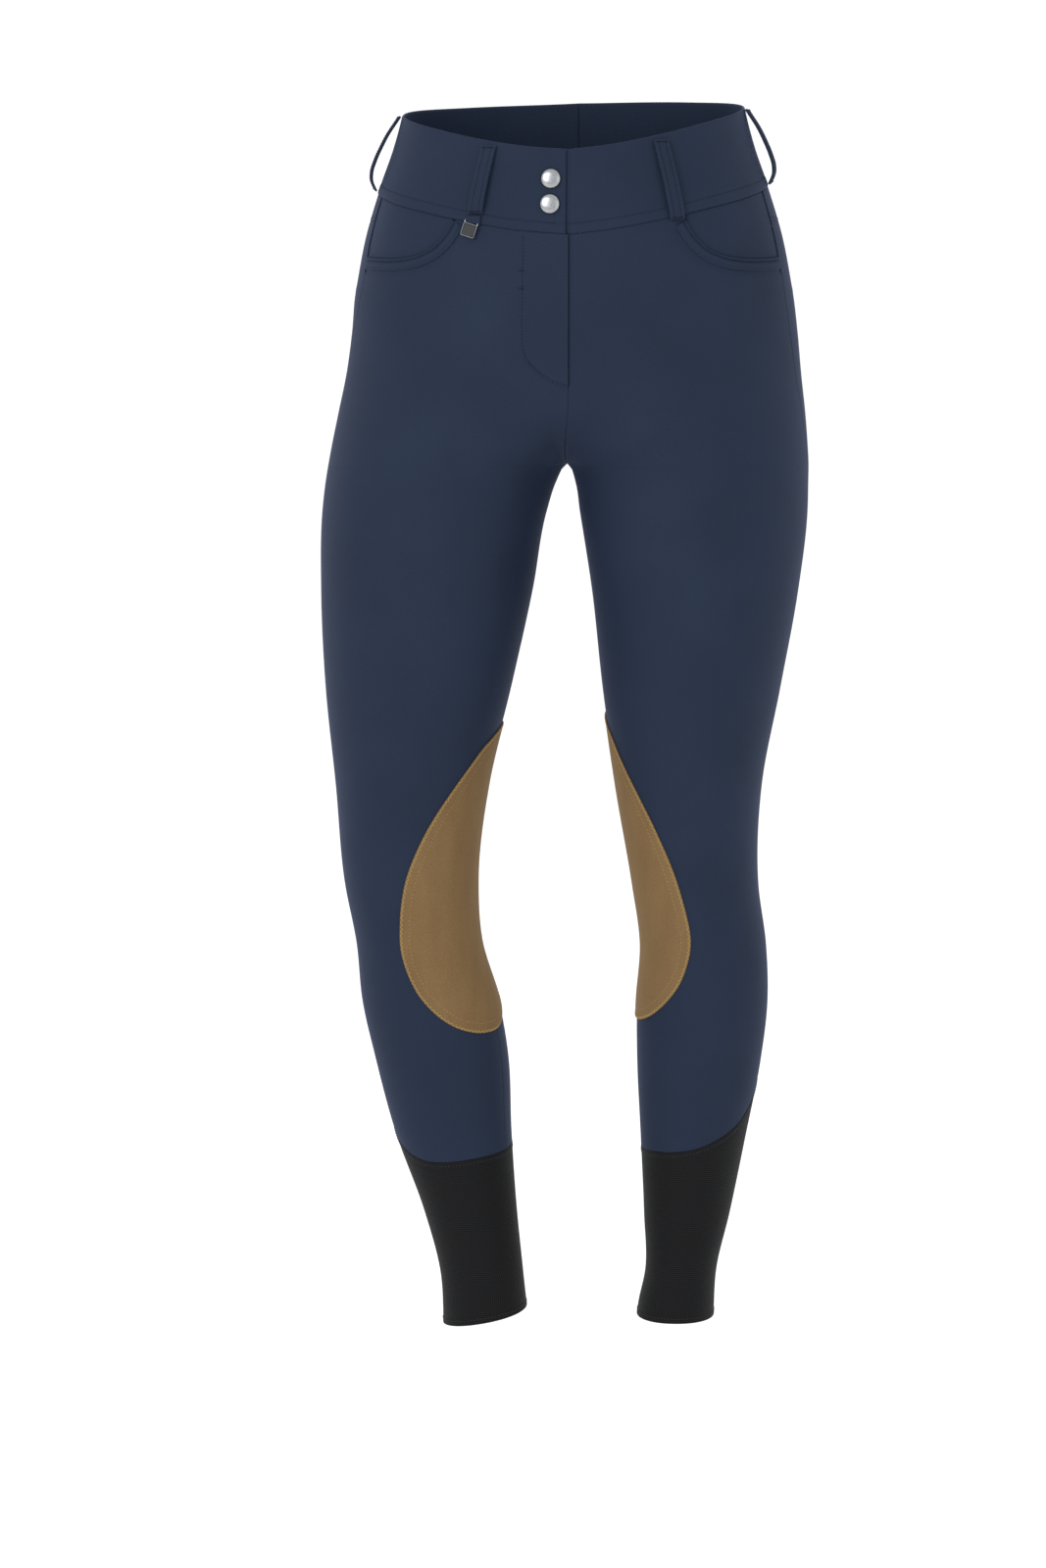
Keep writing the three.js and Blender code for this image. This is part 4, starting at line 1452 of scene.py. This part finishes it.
# %% [markdown]
# The patch is split suede, sanded until its fibres stand up. Nap scatters light at the rim, so
# it has a soft sheen, and it lies in different directions, which gives the slow light and dark
# patches. The tiny pores are noise at the size of the fibre bundles.

# %% Sanded suede
NAP = 0.9
NAP_PATCH = 26
NAP_STROKE = (1.6, 1.6, 0.5)
PORE_SHARE = 0.35


def sanded_suede():
    # sanded fibres, no finish coat: dull, with a soft bright rim
    material, tree = new_material("sanded suede")
    place = object_place(tree)
    stroke = add_node(tree, "ShaderNodeMapping", {"Vector": place, "Scale": NAP_STROKE}).outputs[0]
    broad = ramp(tree, noise(tree, stroke, NAP_PATCH, 4.0), [(0.34, "#685033"), (0.68, "#705939")])
    nap = noise(tree, place, NAP)
    pores = ramp(tree, nap, [(0.3, "#57422a"), (0.7, "#7b6443")])
    add_skin(tree, {
        "Base Color": blend(tree, PORE_SHARE, broad, pores),
        "Roughness": 0.9,
        "Specular IOR Level": 0.2,
        "Sheen Weight": 0.2,
        "Sheen Roughness": 0.55,
        "Sheen Tint": colour("#b39a72"),
    }, height=nap, strength=0.4, depth=0.3)
    return material


suede = sanded_suede()
print(suede.name, "with", len(suede.node_tree.nodes), "nodes")

# %% [markdown]
# The cuffs are a fine warp-knitted mesh. Two crossed waves make its lattice of tiny holes. The
# threads between them are shiny filament, so they light up where the cuff turns away. The lattice
# is really about 0.8 mm wide and is drawn at 1.7 mm.

# %% Black stretch mesh
MESH_PITCH = 1.7


def stretch_mesh():
    # smooth black filament yarn, open knit: dark face, grey glint at a low angle
    material, tree = new_material("black warp-knitted mesh")
    cloth = cloth_place(tree)
    rows, wales = (waves(tree, cloth, WAVE_BAND / (MESH_PITCH * MM), way) for way in "XY")
    lattice = both(tree, rows, wales)
    add_skin(tree, {
        "Base Color": ramp(tree, lattice, [(0.1, "#0c0c0d"), (0.75, "#1b1c1e")]),
        "Roughness": spread(tree, lattice, 0.85, 0.55),
        "Specular IOR Level": 0.12,
        "Sheen Weight": 0.09,
        "Sheen Roughness": 0.35,
        "Sheen Tint": colour("#9a9da3"),
    }, height=lattice, strength=0.6, depth=0.4)
    return material


mesh_knit = stretch_mesh()
print(mesh_knit.name, "with", len(mesh_knit.node_tree.nodes), "nodes")

# %% [markdown]
# Thread is twisted polyester with a soft gleam, a shade darker than the navy cloth and brighter
# than the suede, and grey on the cuffs. The metal is nickel plate, tumbled to a satin finish,
# and the badge's face is a baked dark enamel in a gunmetal rim.

# %% Thread, nickel and enamel
GRAIN = 0.6


def grained(name, settings, low, high, rough, depth):
    """A finish with a fine grain: two colours, a span of roughness and a depth of bump in mm."""
    material, tree = new_material(name)
    grain = noise(tree, object_place(tree), GRAIN, 3.0)
    add_skin(tree, {
        "Base Color": ramp(tree, grain, [(0.35, low), (0.65, high)]),
        "Roughness": spread(tree, grain, *rough, 0.3, 0.7),
        **settings,
    }, height=grain, strength=0.5, depth=depth)
    return material


# each: gloss or metal, two colours, span of roughness, depth of the grain in millimetres
DULL = {"Specular IOR Level": 0.15}
METAL = {"Metallic": 1.0}
navy_thread = grained("navy polyester thread", DULL, "#0e131d", "#171f2f", (0.5, 0.7), 0.05)
gold_thread = grained("gold polyester thread", DULL, "#8a7042", "#a58b57", (0.5, 0.7), 0.05)
grey_thread = grained("grey polyester thread", DULL, "#26282b", "#3a3c40", (0.5, 0.7), 0.05)
nickel = grained("satin nickel plate", METAL, "#8f9194", "#a3a5a8", (0.2, 0.32), 0.01)
gunmetal = grained("polished gunmetal", METAL, "#6f7277", "#82858a", (0.2, 0.3), 0.01)
# the snaps' seat rings: near-black nickel, which paints the shadow round each cap's rim
seat_nickel_painted_shadow = grained("blackened nickel", METAL, "#1c1d20", "#2a2b2e", (0.35, 0.5), 0.01)
enamel = grained("baked dark enamel", {"Specular IOR Level": 0.3}, "#0f1012", "#17191c", (0.35, 0.5), 0.01)

print("finishes:", len(bpy.data.materials))

# %% Give each piece its finish
# the first word that a piece's name holds counts, and the badge has a rim and a face
FINISH = {
    "patch": [suede],
    "cuff": [mesh_knit],
    "enamel": [gunmetal, enamel],
    "seat": [seat_nickel_painted_shadow],
    "cap": [nickel],
    "lug": [nickel],
    "cloth": [twill],
}
for name, obj in pieces.items():
    kind = next(word for word in FINISH if word in name)
    for material in FINISH[kind]:
        obj.data.materials.append(material)
print("materials:", [m.name for m in bpy.data.materials])

# %% [markdown]
# ## Stitches
# Each row of stitches is the same thing: one small spindle of thread, repeated at a set pitch
# along a line on the cloth and turned to lie along it. Geometry Nodes does this well: the line
# becomes a curve, the curve is resampled at the pitch, and a spindle is placed at each point.
# A zigzag turns every other spindle the other way.

# %% The stitch tree
SPINDLE_SIDES = 6
SPINDLE_RINGS = 5
STITCH_VALUES = {
    "Pitch": "Float",
    "Length": "Float",
    "Thickness": "Float",
    "Turn": "Float",
    "Thread": "Material",
}


def stitch_tree():
    tree = bpy.data.node_groups.new("row of stitches", "GeometryNodeTree")
    tree.interface.new_socket("Geometry", in_out="OUTPUT", socket_type="NodeSocketGeometry")
    tree.interface.new_socket("Lines", in_out="INPUT", socket_type="NodeSocketGeometry")
    inputs = {}
    for name, kind in STITCH_VALUES.items():
        socket = tree.interface.new_socket(name, in_out="INPUT", socket_type=f"NodeSocket{kind}")
        inputs[name] = socket.identifier
    given = add_node(tree, "NodeGroupInput").outputs
    curve = add_node(tree, "GeometryNodeMeshToCurve", {"Mesh": given["Lines"]}).outputs["Curve"]
    spots = add_node(tree, "GeometryNodeResampleCurve", {"Curve": curve, "Length": given["Pitch"]},
                     mode="LENGTH")
    spindle = add_node(tree, "GeometryNodeMeshUVSphere", {
        "Segments": SPINDLE_SIDES,
        "Rings": SPINDLE_RINGS,
        "Radius": 0.5,
    })
    thick = given["Thickness"]
    size = add_node(tree, "ShaderNodeCombineXYZ", {"X": given["Length"], "Y": thick, "Z": thick})
    round_thread = add_node(tree, "GeometryNodeSetShadeSmooth", {"Geometry": spindle.outputs["Mesh"]})
    along = add_node(tree, "FunctionNodeAlignRotationToVector", {
        "Vector": add_node(tree, "GeometryNodeInputTangent").outputs["Tangent"],
    }, axis="X")
    normal = add_node(tree, "GeometryNodeInputNamedAttribute", {"Name": "surface_normal"},
                      data_type="FLOAT_VECTOR")
    lying = add_node(tree, "FunctionNodeAlignRotationToVector", {
        "Rotation": along.outputs["Rotation"],
        "Vector": normal.outputs["Attribute"],
    }, axis="Z", pivot_axis="X")
    index = add_node(tree, "GeometryNodeInputIndex").outputs["Index"]
    odd = add_node(tree, "ShaderNodeMath", {0: index, 1: 2.0}, operation="MODULO").outputs[0]
    side = add_node(tree, "ShaderNodeMath", {0: odd, 1: 2.0, 2: -1.0}, operation="MULTIPLY_ADD").outputs[0]
    about = add_node(tree, "ShaderNodeCombineXYZ", {"Z": both(tree, side, given["Turn"])}).outputs[0]
    turned = add_node(tree, "FunctionNodeRotateRotation", {
        "Rotation": lying.outputs["Rotation"],
        "Rotate By": add_node(tree, "FunctionNodeEulerToRotation", {"Euler": about}).outputs["Rotation"],
    }, rotation_space="LOCAL")
    placed = add_node(tree, "GeometryNodeInstanceOnPoints", {
        "Points": spots.outputs["Curve"],
        "Instance": round_thread.outputs["Geometry"],
        "Rotation": turned.outputs["Rotation"],
        "Scale": size.outputs["Vector"],
    })
    real = add_node(tree, "GeometryNodeRealizeInstances", {"Geometry": placed.outputs["Instances"]})
    dyed = add_node(tree, "GeometryNodeSetMaterial", {
        "Geometry": real.outputs["Geometry"],
        "Material": given["Thread"],
    })
    add_node(tree, "NodeGroupOutput", {"Geometry": dyed.outputs["Geometry"]})
    return tree, inputs


STITCHES, STITCH_INPUTS = stitch_tree()
print("inputs of the stitch tree:", list(STITCH_INPUTS))

# %% Rows of stitches
RIDE_HIGH = 0.08
THREAD_IN = 0.05


def stitch(name, lines, pitch, length, thickness, turn=0.0, thread=navy_thread, slot="stretch_cloth"):
    """Sews along lines, each a pair of points and normals. Lengths are in millimetres, turn in radians."""
    points = np.vstack([p for p, _ in lines])
    normals = np.vstack([n for _, n in lines])
    edges = []
    start = 0
    for p, _ in lines:
        edges += [(start + k, start + k + 1) for k in range(len(p) - 1)]
        start += len(p)
    mesh = bpy.data.meshes.new(name)
    mesh.from_pydata(((points + normals * RIDE_HIGH) * MM).tolist(), edges, [])
    layer = mesh.attributes.new("surface_normal", "FLOAT_VECTOR", "POINT")
    layer.data.foreach_set("vector", normals.astype(np.float32).ravel())
    obj = bpy.data.objects.new(name, mesh)
    bpy.context.scene.collection.objects.link(obj)
    modifier = obj.modifiers.new("sew", "NODES")
    modifier.node_group = STITCHES
    for key, value in zip(STITCH_VALUES, (pitch * MM, length * MM, thickness * MM, turn, thread)):
        modifier[STITCH_INPUTS[key]] = value
    sewn = bpy.data.meshes.new_from_object(obj.evaluated_get(bpy.context.evaluated_depsgraph_get()))
    bpy.data.objects.remove(obj)
    bpy.data.meshes.remove(mesh)
    sewn.name = name
    print(name, len(sewn.polygons), "faces")
    return new_piece(name, sewn)


def lifted(points, normals, height):
    return points + normals * np.asarray(height)[..., None], normals


def route(rows, count):
    """Smooth run of count points through a few places."""
    curve = smooth_table([(k, *row) for k, row in enumerate(rows)])
    return curve(np.linspace(0, len(rows) - 1, count)).T


BAND_RUN = 260
BAND_RUN_END = 269.5
# the stitches lie this far into the face of the band
THREAD_SINK = 0.4
TURN_ANGLE = 96.0
TURN_LENGTH = 5.5


def band_row(leg, start):
    angle = np.linspace(start, BAND_RUN_END, BAND_RUN)
    z = waist_seam(leg, angle) + SEAM + BAND_STITCH
    points, normals = surface(leg, angle, z, past_centre=True)
    over = overlap(points) if leg is RIGHT else 0
    return lifted(points, normals, mix(BAND_OUTER, OVERLAP_OUTER, over) - THREAD_SINK)


def turn_up():
    """The row turns up along the edge of the lap."""
    z = np.linspace(0, TURN_LENGTH, 12) + float(waist_seam(RIGHT, TURN_ANGLE)) + SEAM + BAND_STITCH
    return lifted(*surface(RIGHT, np.full(12, TURN_ANGLE), z), OVERLAP_OUTER - THREAD_IN)


stitch("band_stitches", [band_row(RIGHT, TURN_ANGLE), band_row(LEFT, 89), turn_up()],
       pitch=3.1, length=2.3, thickness=0.55)

# %% Fly and pockets
# columns: x, z of the J-shaped row
FLY_ROW = [
    (-35.1, -101),
    (-36.0, -140),
    (-36.4, -178),
    (-33.8, -193),
    (-25, -203.4),
    (-13.5, -211.6),
    (-3.2, -215.4),
]
FLY_TACKS = [(-36.2, -127), (-36.4, -141)]
TACK_SPAN = (-2.4, 1.2)
POCKET_RUN = 160


def fly_row():
    x, z = route(FLY_ROW, 120)
    return lifted(*front_surface(x, z), FLY_LIFT - THREAD_IN)


def fly_tack(x, z):
    return lifted(*front_surface(x + np.linspace(*TACK_SPAN, 6), z), FLY_LIFT)


def pocket_row(leg):
    width = np.full(POCKET_RUN, HEM_STITCH)
    points, normals = beside_pocket(leg, np.linspace(0.01, 0.995, POCKET_RUN), width)
    return lifted(points, normals, hem_height(width)[..., 0] - 2 * THREAD_IN)


stitch("fly_stitches", [fly_row()], pitch=2.9, length=2.1, thickness=0.5)
stitch("fly_tacks", [fly_tack(*row) for row in FLY_TACKS], pitch=0.6, length=2.0, thickness=0.32, turn=1.45)
stitch("pocket_stitches", [pocket_row(leg) for leg in LEGS], pitch=2.7, length=2.0, thickness=0.5)

# %% Belt loop rows and bar tacks
TACK_IN = 1.8
TACK_ASIDE = 1.5
ROW_IN = 3


def loop_line(name, t, u):
    points, normals = loop_grid(name, *np.broadcast_arrays(t, u))
    return lifted(points, normals, LOOP_CLOTH - THREAD_IN)


loop_rows = []
loop_tacks = []
for name, row in LOOPS.items():
    length = row[4]
    for u in (LOOP_STITCH, LOOP_WIDTH - LOOP_STITCH):
        loop_rows.append(loop_line(name, np.linspace(ROW_IN / length, 1 - ROW_IN / length, 60), u))
    for t in (TACK_IN / length, 1 - TACK_IN / length):
        loop_tacks.append(loop_line(name, t, np.linspace(TACK_ASIDE, LOOP_WIDTH - TACK_ASIDE, 16)))
stitch("loop_stitches", loop_rows, pitch=2.2, length=1.6, thickness=0.45)
stitch("loop_tacks", loop_tacks, pitch=0.55, length=2.2, thickness=0.42, turn=1.4)

# %% [markdown]
# The patches are held by a gold zigzag over their edge and a straight row 8 mm inside it. A row
# inside an edge is found by stepping inwards along the surface and back onto the form.

# %% Patch rows
PATCH_ZIGZAG = 1.5
PATCH_ROW = 8
PATCH_THREAD_IN = 0.08
PATCH_RUN = 420
OUTLINE_ROWS = 200
OUTLINE_STEP = 6


def patch_outline(leg, inset):
    """Closed line inside the patch's edge."""
    level, front, back = patch_edges(leg, np.linspace(0, len(PATCH) - 1, OUTLINE_ROWS))
    angle = np.concatenate([front, back[::-1]])
    points = body_point(leg, angle % 360, np.concatenate([level, level[::-1]]))
    run = np.concatenate([[0], np.cumsum(np.linalg.norm(np.diff(points, axis=0), axis=1))])
    even = np.linspace(0, run[-1], PATCH_RUN)
    points = np.stack([np.interp(even, run, points[:, k]) for k in range(3)], axis=1)
    ahead = np.roll(points, -OUTLINE_STEP, axis=0) - np.roll(points, OUTLINE_STEP, axis=0)
    inward = np.cross(ahead, body_normal(points))
    inward /= np.linalg.norm(inward, axis=1, keepdims=True)
    inward *= np.sign(((points.mean(axis=0) - points) * inward).sum(axis=1).mean())
    points = points + inward * inset
    for _ in range(3):
        points = points - body_normal(points) * body_distance(*points.T)[:, None]
    height = PATCH_SEAT + PATCH_CLOTH - PATCH_THREAD_IN + crease_height(points)
    return lifted(points, body_normal(points), height)


zigzags = [patch_outline(leg, PATCH_ZIGZAG) for leg in LEGS]
straights = [patch_outline(leg, PATCH_ROW) for leg in LEGS]
gold = {"thread": gold_thread, "slot": "suede"}
stitch("patch_zigzag", zigzags, pitch=1.9, length=3.2, thickness=0.75, turn=0.85, **gold)
stitch("patch_rows", straights, pitch=3.2, length=1.5, thickness=0.45, **gold)

# %% Cuff and yoke rows
CUFF_ROW = 3.2
CUFF_RUN = 300
YOKE_ROW = 3
YOKE_RUN = 200


def cuff_row(leg, line, offset):
    angle = np.linspace(0, 360, CUFF_RUN) + float(twist(leg, CUFF_LEVEL))
    return lifted(*surface(leg, angle % 360, line(leg, angle) + offset), SEAM_TAPE_RISE)


def yoke_row(leg):
    z = np.full(YOKE_RUN, -110.0)
    for _ in range(4):
        start, end = back_span(leg, z)
        angle = mix(start, end, np.linspace(0.005, 0.995, YOKE_RUN))
        z = yoke_seam(angle)[..., 0] + YOKE_ROW
    return surface(leg, angle, z)


cuff_rows = [cuff_row(leg, leg_seam, -SEAM - CUFF_ROW) for leg in LEGS]
cuff_rows += [cuff_row(leg, hem_line, CUFF_ROW + 1) for leg in LEGS]
stitch("cuff_stitches", cuff_rows, pitch=3.0, length=1.9, thickness=0.45, thread=grey_thread, slot="knit")
stitch("yoke_stitches", [yoke_row(leg) for leg in LEGS], pitch=2.9, length=2.1, thickness=0.5)

# %% [markdown]
# ## Camera, light and floor
# The picture is a studio cut-out: a long lens at waist height, a broad soft light from the
# front left, and a floor and wall so pale that they vanish.

# %% Camera
CAMERA_TURN = 3.0
CAMERA_TILT = 7.2
CAMERA_DISTANCE = 3555
CAMERA_TARGET_SIDE = -41
CAMERA_TARGET_HEIGHT = -544
SENSOR_HEIGHT = 36
LENS = 100


def make_camera():
    turn = np.radians(CAMERA_TURN)
    tilt = np.radians(CAMERA_TILT)
    right = Vector((np.cos(turn), np.sin(turn), 0))
    back = Vector((np.sin(turn) * np.cos(tilt), -np.cos(turn) * np.cos(tilt), np.sin(tilt)))
    up = back.cross(right)
    target = right * CAMERA_TARGET_SIDE + Vector((0, 0, CAMERA_TARGET_HEIGHT))
    data = bpy.data.cameras.new("studio camera")
    data.sensor_fit = "VERTICAL"
    data.sensor_height = SENSOR_HEIGHT
    data.lens = LENS
    camera = bpy.data.objects.new("studio camera", data)
    camera.matrix_world = Matrix.Translation((target + back * CAMERA_DISTANCE) * MM) @ Matrix(
        (right, up, back)).transposed().to_4x4()
    bpy.context.scene.collection.objects.link(camera)
    bpy.context.scene.camera = camera
    return camera


print("camera at", [round(v, 3) for v in make_camera().matrix_world.translation])

# %% Light and floor
FLOOR_LEVEL = -1.1
FLOOR_SIZE = 40
GARMENT_MIDDLE = (0, 0, -0.5)
WALL_LIGHT = 1.06


def soft_light(name, place, size, watts):
    """A square soft box that faces the middle of the garment. place and size are in metres."""
    data = bpy.data.lights.new(name, "AREA")
    data.shape = "SQUARE"
    data.size = size
    data.energy = watts
    light = bpy.data.objects.new(name, data)
    light.location = place
    light.rotation_euler = (Vector(GARMENT_MIDDLE) - Vector(place)).to_track_quat("-Z", "Y").to_euler()
    bpy.context.scene.collection.objects.link(light)
    return light


soft_light("key soft box", place=(-1.9, -3.4, 1.2), size=2.2, watts=70)
soft_light("fill soft box", place=(2.6, -3.0, 0.2), size=2.6, watts=14)
soft_light("left edge soft box", place=(3.2, 1.6, 0.2), size=2.4, watts=20)
soft_light("right edge soft box", place=(-3.2, 1.6, 0.2), size=2.4, watts=20)

bpy.context.scene.view_settings.view_transform = "Standard"
world = bpy.data.worlds.new("white studio")
world.use_nodes = True
world.node_tree.nodes.clear()
sky = add_node(world.node_tree, "ShaderNodeBackground", {"Color": colour("#ffffff"), "Strength": WALL_LIGHT})
add_node(world.node_tree, "ShaderNodeOutputWorld", {"Surface": sky.outputs[0]})
bpy.context.scene.world = world

floor_mesh = bpy.data.meshes.new("studio floor")
half = FLOOR_SIZE / 2
floor_corners = [(x * half, y * half, FLOOR_LEVEL) for x, y in ((-1, -1), (1, -1), (1, 1), (-1, 1))]
floor_mesh.from_pydata(floor_corners, [], [(0, 1, 2, 3)])
paper = grained("pale paper sweep", {"Specular IOR Level": 0.1}, "#fafafa", "#fdfdfd", (0.85, 0.95), 0.01)
floor_mesh.materials.append(paper)
floor = bpy.data.objects.new("studio_floor", floor_mesh)
bpy.context.scene.collection.objects.link(floor)
print("floor at", FLOOR_LEVEL, "m")
